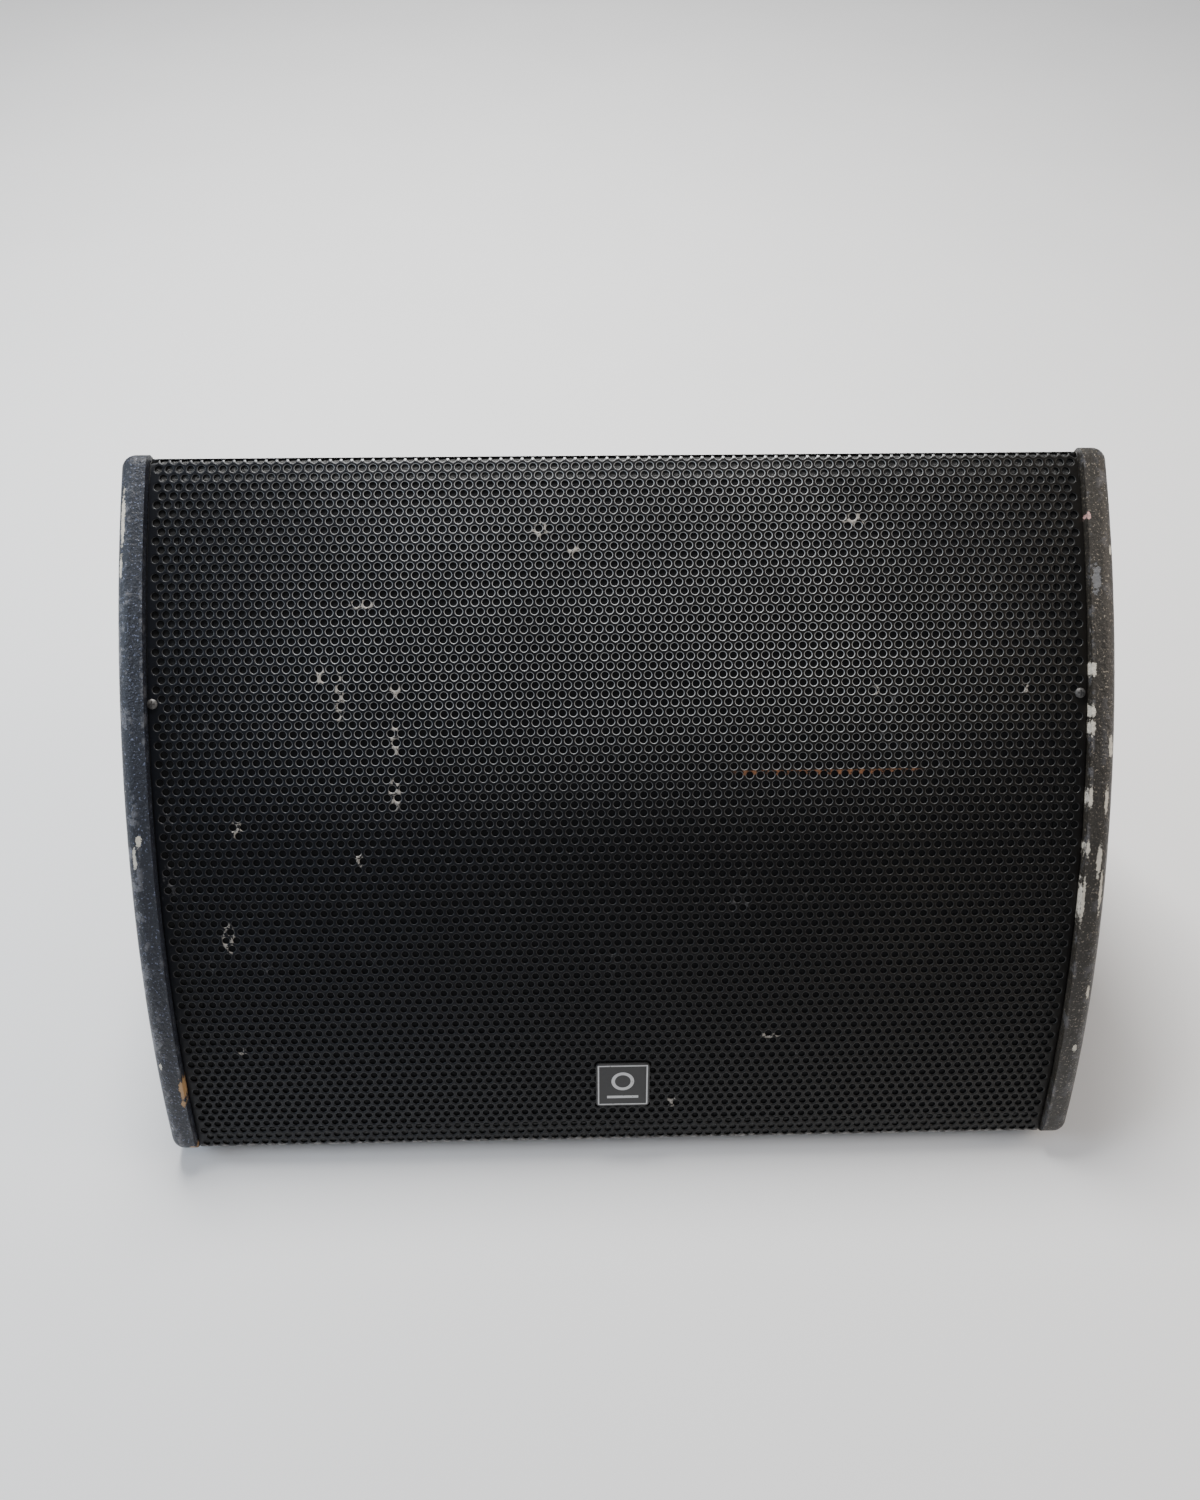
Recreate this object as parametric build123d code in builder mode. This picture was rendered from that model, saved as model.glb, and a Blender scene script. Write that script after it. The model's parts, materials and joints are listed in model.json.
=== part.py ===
from build123d import *
import math
import os

# A two-way floor monitor loudspeaker: a wedge of plywood with a bowed, perforated steel grille
# between two end boards. Behind the grille a flat baffle carries a 15 inch woofer, a horn with
# its compression driver, and two port tubes. A dish for the input sockets is let into the left
# end board, and a bar handle into the right one. Rubber feet let it stand on its underside or,
# for a steeper angle, on its rear.
#
# Millimetres. +Z is up, the grille faces -Y and X runs across. The origin is on the floor,
# under the middle of the box that the whole object fills.

os.makedirs("parts", exist_ok=True)

# ---- cabinet -----------------------------------------------------------------------------
outer_width = 650.0  # over both end boards
chord_length = 492.0  # straight line from the grille's toe to its apex
chord_angle = 48.0  # that line's angle from the floor
cabinet_depth = 430.0  # toe to heel, along the underside
end_board = 18.0
shell_board = 18.0  # bottom and rear
baffle_board = 18.0
end_proud = 6.5  # end boards stand this far in front of the grille
rear_proud = 2.0  # and this far behind the rear board
edge_round = 9.5  # routed outer edges of the end boards
toe_round = 12.0
apex_round = 10.0
heel_round = 12.0

# ---- grille ------------------------------------------------------------------------------
bow_radius = 707.0  # outer face of the grille
grille_sheet = 1.2
grille_side_gap = 1.0
grille_seat_gap = 0.3  # between the sheet and the wood behind it
bend_inside = 2.8
flange_length = 14.0  # returns under the bottom board and behind the rear board
flange_end_gap = 0.6
batten_width = 20.0
foam_thickness = 4.0
foam_gap = 0.5
badge_size = 38.0
badge_corner = 3.0
badge_thickness = 1.6
badge_arc = -194.0  # along the bow from its middle, up being positive

# ---- screws: radii of head and shank, head height, length under the head ------------------
screw_gap = 0.1  # radial, between a shank and its hole
slot_width = 0.8
slot_share = 1.2  # the cross recess, tip to tip, over the head's radius
grille_screw = (3.3, 1.75, 2.2, 22.0)
wood_screw = (4.0, 1.9, 2.2, 14.0)
board_screw = (2.8, 1.5, 1.8, 22.0)
woofer_bolt = (5.5, 2.9, 3.6, 20.0)
left_screw_inset = 3.5  # grille screws, from the end boards' inner faces
right_screw_inset = 5.5
grille_screw_arc = 87.0

# ---- feet --------------------------------------------------------------------------------
foot_radius = 19.0
foot_tip_radius = 16.0
foot_height = 9.0
foot_recess = 5.0
foot_side_inset = 48.0  # from the end boards' outer faces
foot_front_inset = 60.0  # from the toe
foot_heel_inset = 46.0  # from the heel, under and behind
foot_apex_inset = 60.0

# ---- woofer: radii, and heights in front of the baffle's face ------------------------------
woofer_x = -90.0
woofer_s = 4.0  # up the chord from its middle
woofer_rim = 194.0
woofer_cutout = 177.0
woofer_bolts = 8
woofer_bolt_circle = 187.0
gasket_thickness = 1.5
gasket_land = 1.0  # the gasket stays this far inside the rim and outside the cut-out
rim_thickness = 5.0
basket_wall = 4.0
basket_gap = 1.5  # between the basket and the cut-out
basket_skirt = 12.0
basket_depth = 90.0
basket_foot_radius = 86.0
basket_bore = 44.0
spoke_count = 8
spoke_width = 15.0
window_inner = 98.0
window_outer = 158.0
spider_ledge = 78.0
spider_ledge_height = 8.0
spider_wave = 2.2
cloth = 0.8
cone_radius = 153.0
cone_paper = 1.5
cone_edge_height = 3.0
cone_neck_depth = 72.0
cap_radius = 56.0
cap_rise = 16.0
surround_wave = 1.7
trim_width = 7.0
trim_thickness = 2.0
coil_radius = 38.0  # outside of the former
former_wall = 0.4
winding_thickness = 0.7
winding_length = 16.0
pole_gap = 0.6
plate_gap = 0.7
top_plate_radius = 72.0
plate_thickness = 8.0
magnet_radius = 78.0
magnet_bore = 46.0
magnet_thickness = 20.0
back_plate_radius = 74.0
pole_vent = 12.0
lead_spread = 8.0
block_depth = 14.0
block_width = 26.0
block_height = 5.0

# ---- tee nuts ----------------------------------------------------------------------------
tee_barrel = 4.2
tee_flange_radius = 9.5
tee_flange = 1.5
tee_length = 10.0

# ---- horn and compression driver -----------------------------------------------------------
horn_x = 196.0
horn_s = 0.0
horn_flange = (166.0, 226.0)
horn_flange_corner = 10.0
horn_cutout_gap = 2.0
horn_wall = 3.0
horn_mouth = (140.0, 200.0)
horn_waist = (84.0, 116.0)
horn_neck = (40.0, 48.0)
horn_waist_depth = 25.0
horn_neck_depth = 60.0
horn_depth = 90.0
horn_screw_inset = 5.5
throat_radius = 12.7
throat_flange_radius = 38.0
throat_flange = 6.0
hf_radius = 45.0
hf_plate = 8.0
hf_magnet_thickness = 15.0
hf_magnet_bore = 26.0
hf_top_plate = 5.0
hf_top_plate_radius = 42.0
hf_coil_radius = 22.0
hf_coil_gap = 0.6
hf_former_wall = 0.3
hf_winding = 0.3
hf_winding_length = 4.0
hf_dome_rise = 7.0
hf_dome_facets = 8
hf_film = 0.4
hf_clamp_inner = 27.0
hf_clamp_outer = 38.0
hf_clamp = 1.0
hf_cap_radius = 41.0
hf_cap_depth = 22.0
hf_cap_wall = 2.5
plug_nose = 3.0
plug_slot = 2.0
hf_bore_mouth = 19.0
hf_bore_depth = 14.0

# ---- ports -------------------------------------------------------------------------------
port_radius = 28.0
port_wall = 2.0
port_flange = 34.0
port_flange_thickness = 2.0
port_length = 32.0
port_s = 150.0
port_gap = 0.3

# ---- input dish, in the left end board -----------------------------------------------------
side_fitting_depth = 272.0  # both side fittings' middle, behind the toe
side_fitting_height = 130.0  # and above the cabinet's underside
fitting_plate = 2.0
dish_plate = (134.0, 104.0)
dish_opening = (106.0, 76.0)
dish_depth = 28.0
dish_wall = 2.0
dish_corner = 8.0
fitting_gap = 0.6
socket_offsets = (-33.0, 0.0)
socket_flange = (26.0, 31.0)
socket_flange_thickness = 3.0
socket_radius = 11.8
socket_length = 27.0
socket_mouth = 10.2
socket_post = 4.4
socket_cavity = 22.0
jack_offset = 33.0
jack_bore = 3.2
jack_nut_radius = 8.0
jack_nut = 3.0
jack_thread = 5.5
jack_body = 18.0
jack_length = 32.0

# ---- bar handle, in the right end board ----------------------------------------------------
handle_plate = (176.0, 118.0)
handle_opening = (148.0, 90.0)
handle_depth = 58.0
handle_wall = 1.5
handle_corner = 12.0
bar_radius = 8.0
bar_below_face = 14.0
grip_radius = 11.0
grip_length = 112.0
screw_from_edge = 7.0

# ---- crossover ---------------------------------------------------------------------------
crossover_x = 30.0
crossover_depth = 335.0  # its middle, behind the toe
crossover_size = (180.0, 100.0)
circuit_board = 1.6
standoff_radius = 4.0
standoff_height = 10.0
standoff_inset = 7.0
coil_outer = 25.0
coil_inner = 11.0
coil_height = 24.0
coil_places = ((-58.0, 18.0), (2.0, 18.0))
capacitor_radius = 9.0
capacitor_length = 34.0
capacitor_places = ((-62.0, -28.0), (-24.0, -28.0), (14.0, -28.0))
resistor_size = (44.0, 9.0, 9.0)
resistor_places = ((54.0, -14.0), (54.0, -30.0), (58.0, 26.0))
block_size = (14.0, 9.0, 10.0)
input_block = (-82.0, -9.0)
woofer_block = (-30.0, 42.0)
horn_block = (82.0, 0.0)

# ---- lining, glue blocks, wiring -----------------------------------------------------------
lining_thickness = 20.0
lining_width = 500.0
lining_low = 92.0  # up the rear board, from the heel
lining_high = 292.0
glue_leg = 24.0
glue_spans = ((-290.0, -90.0), (150.0, 290.0))
cable_radius = 2.5
cable_rise = 30.0  # straight out of a terminal before the first bend
cable_bend = 0.45  # of the shorter run, used up by a bend on each side

# ---- the section's frame -------------------------------------------------------------------
lean = math.radians(chord_angle)
along = Vector(0, math.cos(lean), math.sin(lean))  # up the chord
outward = Vector(0, -math.sin(lean), math.cos(lean))  # out of the front
apothem = math.sqrt(bow_radius**2 - (chord_length / 2) ** 2)
rear_run = along * chord_length - Vector(0, cabinet_depth, 0)
rear_length = rear_run.length
rear_up = rear_run.normalized()
rear_out = Vector(0, rear_up.Z, -rear_up.Y)

# The rounded toe of the end boards is the foremost point. The rearmost is their rounded heel,
# or the rear feet, whichever stands out more.
end_radius = bow_radius + end_proud
bow_from_toe = along * (chord_length / 2) - outward * apothem
toe_circle_y = bow_from_toe.Y - math.sqrt((end_radius - toe_round) ** 2 - (toe_round - bow_from_toe.Z) ** 2)
foremost = toe_circle_y - toe_round
heel_circle_y = cabinet_depth + (rear_proud - heel_round - heel_round * rear_out.Z) / rear_out.Y
rear_foot_low = cabinet_depth + rear_up.Y * (foot_heel_inset - foot_tip_radius) + rear_out.Y * foot_height
rearmost = max(heel_circle_y + heel_round, rear_foot_low)

toe = Vector(0, -(foremost + rearmost) / 2, foot_height)
heel = toe + Vector(0, cabinet_depth, 0)
apex = toe + along * chord_length
chord_middle = toe + along * (chord_length / 2)
bow_centre = chord_middle - outward * apothem
floor_top = toe.Z + shell_board  # the bottom board's upper face
inner_x = outer_width / 2 - end_board
seat_radius = bow_radius - grille_sheet - grille_seat_gap
far = 2 * cabinet_depth  # past everything, for trimming shapes


def spot(x, s, h):
    """The point x across, s up the chord from its middle and h in front of the chord."""
    return Vector(x, 0, 0) + chord_middle + along * s + outward * h


def facing(x, s, h):
    """The plane at that point, looking out of the front, its own Y up the chord."""
    return Plane(origin=spot(x, s, h), x_dir=(1, 0, 0), z_dir=outward)


def turning(x, s):
    """The plane of a turned section: its X is the radius, its Y the height over the baffle."""
    return Plane(origin=spot(x, s, 0), x_dir=(1, 0, 0), z_dir=-along)


def turn(x, s):
    """Revolves the open sketch about the axis that stands on the baffle there."""
    revolve(axis=Axis(spot(x, s, 0), outward))


def on_bow(x, arc, h):
    """The plane on the bow, arc up it from its middle and h over the grille, looking outward."""
    turned = arc / bow_radius
    normal = outward * math.cos(turned) + along * math.sin(turned)
    return Plane(origin=Vector(x, 0, 0) + bow_centre + normal * (bow_radius + h), x_dir=(1, 0, 0), z_dir=normal)


def on_rear(x, run, h):
    """The plane on the rear board, run up it from the heel and h behind it, looking out."""
    return Plane(origin=Vector(x, 0, 0) + heel + rear_up * run + rear_out * h, x_dir=(1, 0, 0), z_dir=rear_out)


def rear_point(run, inside):
    """(y, z) of the point run up the rear face from the heel and that far inside it."""
    point = heel + rear_up * run - rear_out * inside
    return (point.Y, point.Z)


def rear_y(z, inside):
    """y of the rear face, moved that far inside, at height z."""
    return heel.Y - (inside + (z - heel.Z) * rear_out.Z) / rear_out.Y


def chord_y(z, h):
    """y of the chord line, moved h forward, at height z."""
    return toe.Y + (h - (z - toe.Z) * outward.Z) / outward.Y


def chord_meets_rear(h, inside):
    """(y, z) where the line h in front of the chord meets the rear face moved inside."""
    start = chord_middle + outward * h - heel
    point = heel + start + along * ((-inside - start.dot(rear_out)) / along.dot(rear_out))
    return (point.Y, point.Z)


def front_pocket(h, gap):
    """Corners of the space in front of the baffle, h off it and gap off the boards."""
    low = floor_top + gap
    high = apex.Z + shell_board
    return (
        (chord_y(low, h), low),
        (toe.Y - shell_board, low),
        (toe.Y - shell_board, high),
        (rear_y(high, shell_board + gap), high),
        chord_meets_rear(h, shell_board + gap),
    )


def bow_disc(radius, mode=Mode.ADD):
    """A disc about the bow's centre in the open section sketch."""
    with Locations((bow_centre.Y, bow_centre.Z)):
        Circle(radius, mode=mode)


def screws(planes, sizes):
    """Pan-head screws, each head's underside on its plane and its shank running inward."""
    head_radius, shank_radius, head_height, length = sizes
    with BuildPart() as group:
        for plane in planes:
            with BuildSketch(Plane(origin=plane.origin, x_dir=plane.x_dir, z_dir=-plane.y_dir)):
                with BuildLine():
                    Polyline((0, head_height), (0, -length), (shank_radius, shank_radius - length), (shank_radius, 0))
                    Line((shank_radius, 0), (head_radius, 0))
                    Line((head_radius, 0), (head_radius, head_height / 2))
                    RadiusArc((head_radius, head_height / 2), (0, head_height), -2 * head_radius)
                make_face()
            revolve(axis=Axis(plane.origin, plane.z_dir))
            with BuildSketch(plane.offset(head_height)):
                Rectangle(head_radius * slot_share, slot_width)
                Rectangle(slot_width, head_radius * slot_share)
            extrude(amount=-head_height / 2, mode=Mode.SUBTRACT)
    return group


def drill(planes, radius, depth):
    """Cuts round holes into the open part from each plane, inward."""
    with BuildPart() as plugs:
        for plane in planes:
            with BuildSketch(plane):
                Circle(radius)
            extrude(amount=-depth)
    add(plugs, mode=Mode.SUBTRACT)


def save(piece, name):
    """Labels a finished piece and writes it to its own file."""
    piece.part.label = name
    export_step(piece.part, f"parts/{name}.step")


def shifted(plane, places, h=0.0):
    """The same plane moved to each (u, v) of its own, and h along its normal."""
    return [Plane(origin=plane.from_local_coords((u, v, h)), x_dir=plane.x_dir, z_dir=plane.z_dir) for u, v in places]


def rectangle_places(width, height, across=2, up=2):
    """(u, v) of the points round the border of a grid that fills the rectangle."""
    columns = [width * (i / (across - 1) - 0.5) for i in range(across)]
    rows = [height * (j / (up - 1) - 0.5) for j in range(up)]
    return [(u, v) for u in columns for v in rows if abs(v) == height / 2 or abs(u) == width / 2]


def ring_places(radius, count, start=0.0):
    """(u, v) of count points round a circle."""
    turns = [math.radians(start + 360 * i / count) for i in range(count)]
    return [(radius * math.cos(a), radius * math.sin(a)) for a in turns]


# ---- where things are fastened ---------------------------------------------------------------
side_y = toe.Y + side_fitting_depth
side_z = toe.Z + side_fitting_height
left_face = Plane(origin=(-outer_width / 2, side_y, side_z), x_dir=(0, -1, 0), z_dir=(-1, 0, 0))
right_face = Plane(origin=(outer_width / 2, side_y, side_z), x_dir=(0, 1, 0), z_dir=(1, 0, 0))
dish_screw_places = rectangle_places(dish_plate[0] - 2 * screw_from_edge, dish_plate[1] - 2 * screw_from_edge, 3, 2)
handle_screw_places = rectangle_places(
    handle_plate[0] - 2 * screw_from_edge, handle_plate[1] - 2 * screw_from_edge, 4, 2
)
grille_screw_planes = [
    on_bow(-inner_x + left_screw_inset, grille_screw_arc, 0),
    on_bow(inner_x - right_screw_inset, grille_screw_arc, 0),
]
foot_x = outer_width / 2 - foot_side_inset
bottom_foot_planes = [
    Plane(origin=(x, y, toe.Z), x_dir=(1, 0, 0), z_dir=(0, 0, -1))
    for x in (-foot_x, foot_x)
    for y in (toe.Y + foot_front_inset, heel.Y - foot_heel_inset)
]
rear_foot_planes = [
    on_rear(x, run, 0) for x in (-foot_x, foot_x) for run in (foot_heel_inset, rear_length - foot_apex_inset)
]
woofer_bolt_places = ring_places(woofer_bolt_circle, woofer_bolts, 180 / woofer_bolts)
horn_screw_places = rectangle_places(horn_flange[0] - 2 * horn_screw_inset, horn_flange[1] - 2 * horn_screw_inset, 2, 3)
port_planes = [facing(horn_x, s, 0) for s in (-port_s, port_s)]
crossover_plane = Plane(origin=(crossover_x, toe.Y + crossover_depth, floor_top), x_dir=(1, 0, 0), z_dir=(0, 0, 1))
standoff_places = rectangle_places(crossover_size[0] - 2 * standoff_inset, crossover_size[1] - 2 * standoff_inset)


# ---- cabinet boards --------------------------------------------------------------------------
def end_board_blank(side):
    """One end board with its rounded edges: side is -1 for the left, 1 for the right."""
    with BuildPart() as blank:
        with BuildSketch(Plane.YZ.offset(side * inner_x)) as outline:
            bow_disc(end_radius)
            Polygon(
                (toe.Y - far, toe.Z),
                (rear_y(toe.Z, -rear_proud), toe.Z),
                (rear_y(apex.Z + far, -rear_proud), apex.Z + far),
                (toe.Y - far, apex.Z + far),
                align=None,
                mode=Mode.INTERSECT,
            )
            fillet(outline.vertices().sort_by(Axis.Y)[-1], apex_round)
            fillet(outline.vertices().sort_by(Axis.X)[0], toe_round)
            fillet(outline.vertices().sort_by(Axis.X)[-1], heel_round)
        extrude(amount=side * end_board)
        outer_face = blank.faces().sort_by(Axis.X)[-1 if side > 0 else 0]
        fillet(outer_face.edges(), edge_round)
    return blank


def let_in(face, opening, wall, corner, places):
    """Cuts a side fitting's opening and its screw holes into the open board."""
    with BuildPart() as way_in:
        with BuildSketch(face):
            RectangleRounded(opening[0] + 2 * (wall + fitting_gap), opening[1] + 2 * (wall + fitting_gap), corner)
        extrude(amount=-end_board)
    add(way_in, mode=Mode.SUBTRACT)
    drill(shifted(face, places), wood_screw[1] + screw_gap, wood_screw[3])


with BuildPart() as left_end:
    add(end_board_blank(-1))
    let_in(left_face, dish_opening, dish_wall, dish_corner + dish_wall, dish_screw_places)
save(left_end, "left_end_board")

with BuildPart() as right_end:
    add(end_board_blank(1))
    let_in(right_face, handle_opening, handle_wall, handle_corner + handle_wall, handle_screw_places)
save(right_end, "right_end_board")

rebate = grille_sheet + grille_seat_gap
with BuildPart() as bottom_board:
    with BuildSketch(Plane.YZ.offset(-inner_x)) as section:
        bow_disc(seat_radius)
        Polygon(
            (toe.Y - far, toe.Z),
            (rear_y(toe.Z, shell_board), toe.Z),
            (rear_y(floor_top, shell_board), floor_top),
            (toe.Y - far, floor_top),
            align=None,
            mode=Mode.INTERSECT,
        )
        Polygon(
            (toe.Y - far, toe.Z - rebate),
            (toe.Y + flange_length + flange_end_gap, toe.Z - rebate),
            (toe.Y + flange_length + flange_end_gap, toe.Z + rebate),
            (toe.Y - far, toe.Z + rebate),
            align=None,
            mode=Mode.SUBTRACT,
        )
        fillet(section.vertices().sort_by(Axis.X)[0], bend_inside)
    extrude(amount=2 * inner_x)
    drill(bottom_foot_planes, wood_screw[1] + screw_gap, wood_screw[3] - foot_height + foot_recess)
    drill(
        shifted(crossover_plane, standoff_places), board_screw[1] + screw_gap,
        board_screw[3] - standoff_height - circuit_board,
    )
save(bottom_board, "bottom_board")

with BuildPart() as rear_board:
    with BuildSketch(Plane.YZ.offset(-inner_x)) as section:
        bow_disc(seat_radius)
        Polygon(
            (rear_y(toe.Z, shell_board), toe.Z),
            (rear_y(toe.Z, 0), toe.Z),
            rear_point(rear_length + shell_board, 0),
            rear_point(rear_length + shell_board, shell_board),
            align=None,
            mode=Mode.INTERSECT,
        )
        Polygon(
            rear_point(rear_length - flange_length - flange_end_gap, -rebate),
            rear_point(rear_length + shell_board, -rebate),
            rear_point(rear_length + shell_board, rebate),
            rear_point(rear_length - flange_length - flange_end_gap, rebate),
            align=None,
            mode=Mode.SUBTRACT,
        )
        fillet(section.vertices().sort_by(Axis.Y)[-1], bend_inside)
        fillet(section.vertices().sort_by(Axis.X)[-1], heel_round)
    extrude(amount=2 * inner_x)
    drill(rear_foot_planes, wood_screw[1] + screw_gap, wood_screw[3] - foot_height + foot_recess)
save(rear_board, "rear_board")

horn_hole = (horn_mouth[0] + 2 * (horn_wall + horn_cutout_gap), horn_mouth[1] + 2 * (horn_wall + horn_cutout_gap))
with BuildPart() as baffle:
    with BuildSketch(Plane.YZ.offset(-inner_x)):
        Polygon(
            (chord_y(floor_top, 0), floor_top),
            (chord_y(floor_top, -baffle_board), floor_top),
            chord_meets_rear(-baffle_board, shell_board),
            chord_meets_rear(0, shell_board),
            align=None,
        )
    extrude(amount=2 * inner_x)
    drill([facing(woofer_x, woofer_s, 0)], woofer_cutout, baffle_board)
    drill(shifted(facing(woofer_x, woofer_s, 0), woofer_bolt_places), tee_barrel + screw_gap, baffle_board)
    drill(port_planes, port_radius + port_wall + port_gap, baffle_board)
    drill(shifted(facing(horn_x, horn_s, 0), horn_screw_places), wood_screw[1] + screw_gap, wood_screw[3])
    with BuildSketch(facing(horn_x, horn_s, 0)):
        RectangleRounded(horn_hole[0], horn_hole[1], horn_flange_corner)
    extrude(amount=-baffle_board, mode=Mode.SUBTRACT)
save(baffle, "baffle")

for side, name in ((-1, "left_grille_batten"), (1, "right_grille_batten")):
    with BuildPart() as batten:
        with BuildSketch(Plane.YZ.offset(side * inner_x)):
            bow_disc(seat_radius)
            Polygon(*front_pocket(0, 0), align=None, mode=Mode.INTERSECT)
        extrude(amount=-side * batten_width)
        drill(grille_screw_planes, grille_screw[1] + screw_gap, grille_screw[3])
    save(batten, name)

with BuildPart() as glue_blocks:
    for start, end in glue_spans:
        with BuildSketch(Plane.YZ.offset(start)):
            Polygon(
                (rear_y(floor_top, shell_board), floor_top),
                (rear_y(floor_top, shell_board) - glue_leg, floor_top),
                (rear_y(floor_top + glue_leg, shell_board), floor_top + glue_leg),
                align=None,
            )
        extrude(amount=end - start)
save(glue_blocks, "glue_blocks")


# ---- grille, foam and badge ------------------------------------------------------------------
def wrapped_outline(inset):
    """The bow, the underside and the rear as one rounded outline, moved in by inset."""
    with BuildSketch(Plane.YZ.offset(grille_side_gap - inner_x)) as outline:
        bow_disc(bow_radius - inset)
        Polygon(
            (toe.Y - far, toe.Z + inset),
            (rear_y(toe.Z + inset, inset), toe.Z + inset),
            (rear_y(apex.Z + far, inset), apex.Z + far),
            (toe.Y - far, apex.Z + far),
            align=None,
            mode=Mode.INTERSECT,
        )
        fillet(outline.vertices().sort_by(Axis.Y)[-1], bend_inside + grille_sheet - inset)
        fillet(outline.vertices().sort_by(Axis.X)[0], bend_inside + grille_sheet - inset)
    return outline


outer_outline = wrapped_outline(0)
inner_outline = wrapped_outline(grille_sheet)
with BuildPart() as grille:
    with BuildSketch(Plane.YZ.offset(grille_side_gap - inner_x)):
        add(outer_outline.sketch_local)
        add(inner_outline.sketch_local, mode=Mode.SUBTRACT)
        Polygon(
            (toe.Y + flange_length, toe.Z - shell_board),
            (heel.Y + far, toe.Z - shell_board),
            rear_point(rear_length - flange_length, -far),
            rear_point(rear_length - flange_length, flange_length),
            (toe.Y + flange_length, toe.Z + flange_length),
            align=None,
            mode=Mode.SUBTRACT,
        )
    extrude(amount=2 * (inner_x - grille_side_gap))
    drill(grille_screw_planes, grille_screw[1] + screw_gap, end_board)
save(grille, "grille")

foam_half = inner_x - batten_width - foam_gap
with BuildPart() as grille_foam:
    with BuildSketch(Plane.YZ.offset(-foam_half)):
        bow_disc(seat_radius)
        bow_disc(seat_radius - foam_thickness, mode=Mode.SUBTRACT)
        Polygon(*front_pocket(foam_gap, foam_gap), align=None, mode=Mode.INTERSECT)
    extrude(amount=2 * foam_half)
save(grille_foam, "grille_foam")

save(screws(grille_screw_planes, grille_screw), "grille_screws")

with BuildPart() as badge:
    with BuildSketch(on_bow(0, badge_arc, 0)):
        RectangleRounded(badge_size, badge_size, badge_corner)
    extrude(amount=badge_thickness)
    fillet(badge.edges().group_by(Axis(badge.part.center(), on_bow(0, badge_arc, 0).z_dir))[-1], badge_thickness / 4)
save(badge, "badge")


# ---- feet ------------------------------------------------------------------------------------
def feet(planes):
    """Tapered rubber feet with a sunk screw hole, standing out of each plane."""
    with BuildPart() as group:
        for plane in planes:
            with BuildSketch(plane):
                Circle(foot_radius)
            with BuildSketch(plane.offset(foot_height)):
                Circle(foot_tip_radius)
            loft()
            drill([plane.offset(foot_height)], wood_screw[1] + screw_gap, foot_height)
            drill([plane.offset(foot_height)], wood_screw[0] + screw_gap, foot_recess)
    return group


save(feet(bottom_foot_planes), "bottom_feet")
save(feet(rear_foot_planes), "rear_feet")



# ---- woofer ----------------------------------------------------------------------------------
rim_top = gasket_thickness + rim_thickness
basket_outer = woofer_cutout - basket_gap
basket_inner = basket_outer - basket_wall
skirt_low = -basket_skirt
foot_top = -basket_depth + basket_wall
plate_top = -basket_depth
plate_low = plate_top - plate_thickness
magnet_low = plate_low - magnet_thickness
ledge_top = foot_top + spider_ledge_height
winding_middle = (plate_top + plate_low) / 2
woofer_front = facing(woofer_x, woofer_s, 0)

with BuildPart() as basket:
    with BuildSketch(turning(woofer_x, woofer_s)):
        Polygon(
            (woofer_rim, gasket_thickness),
            (woofer_rim, rim_top),
            (basket_inner, rim_top),
            (basket_inner, skirt_low),
            (basket_foot_radius - basket_wall + spider_ledge_height, ledge_top),
            (spider_ledge, ledge_top),
            (spider_ledge, foot_top),
            (basket_bore, foot_top),
            (basket_bore, plate_top),
            (basket_foot_radius, plate_top),
            (basket_foot_radius, foot_top),
            (basket_outer, skirt_low),
            (basket_outer, gasket_thickness),
            align=None,
        )
    turn(woofer_x, woofer_s)
    with BuildSketch(facing(woofer_x, woofer_s, plate_top)):
        Circle(window_outer)
        Circle(window_inner, mode=Mode.SUBTRACT)
        with PolarLocations(0, spoke_count // 2, start_angle=180 / spoke_count, angular_range=180):
            Rectangle(2 * woofer_rim, spoke_width, mode=Mode.SUBTRACT)
    extrude(amount=basket_depth - basket_skirt, mode=Mode.SUBTRACT)
    drill(shifted(woofer_front, woofer_bolt_places, rim_top), woofer_bolt[1] + screw_gap, rim_thickness)
save(basket, "woofer_basket")

cone_slope = (cone_edge_height + cone_neck_depth) / (cone_radius - coil_radius)
with BuildPart() as cone:
    with BuildSketch(turning(woofer_x, woofer_s)):
        Polygon(
            (coil_radius, -cone_neck_depth),
            (cone_radius, cone_edge_height),
            (cone_radius, cone_edge_height + cone_paper),
            (coil_radius, -cone_neck_depth + cone_paper),
            align=None,
        )
    turn(woofer_x, woofer_s)
save(cone, "woofer_cone")

cap_seat = cone_slope * (cap_radius - coil_radius) - cone_neck_depth + cone_paper
cap_inner = cap_radius - cone_paper
cap_inner_seat = cap_seat - cone_slope * cone_paper
cap_top = cap_seat + cap_rise
with BuildPart() as dust_cap:
    with BuildSketch(turning(woofer_x, woofer_s)):
        with BuildLine():
            Line((cap_inner, cap_inner_seat), (cap_radius, cap_seat))
            RadiusArc((cap_radius, cap_seat), (0, cap_top), -(cap_radius**2 + cap_rise**2) / (2 * cap_rise))
            Line((0, cap_top), (0, cap_top - cone_paper))
            ThreePointArc(
                (0, cap_top - cone_paper),
                (cap_radius / 2, cap_seat + cap_rise * 3 / 4 - cone_paper),
                (cap_inner, cap_inner_seat),
            )
        make_face()
    turn(woofer_x, woofer_s)
save(dust_cap, "woofer_dust_cap")


def wavy_ring(points, thickness):
    """A turned sheet: points are its upper line, and the lower one is thickness below."""
    with BuildPart() as ring:
        with BuildSketch(turning(woofer_x, woofer_s)):
            Polygon(*points, *[(r, h - thickness) for r, h in reversed(points)], align=None)
        turn(woofer_x, woofer_s)
    return ring


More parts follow.
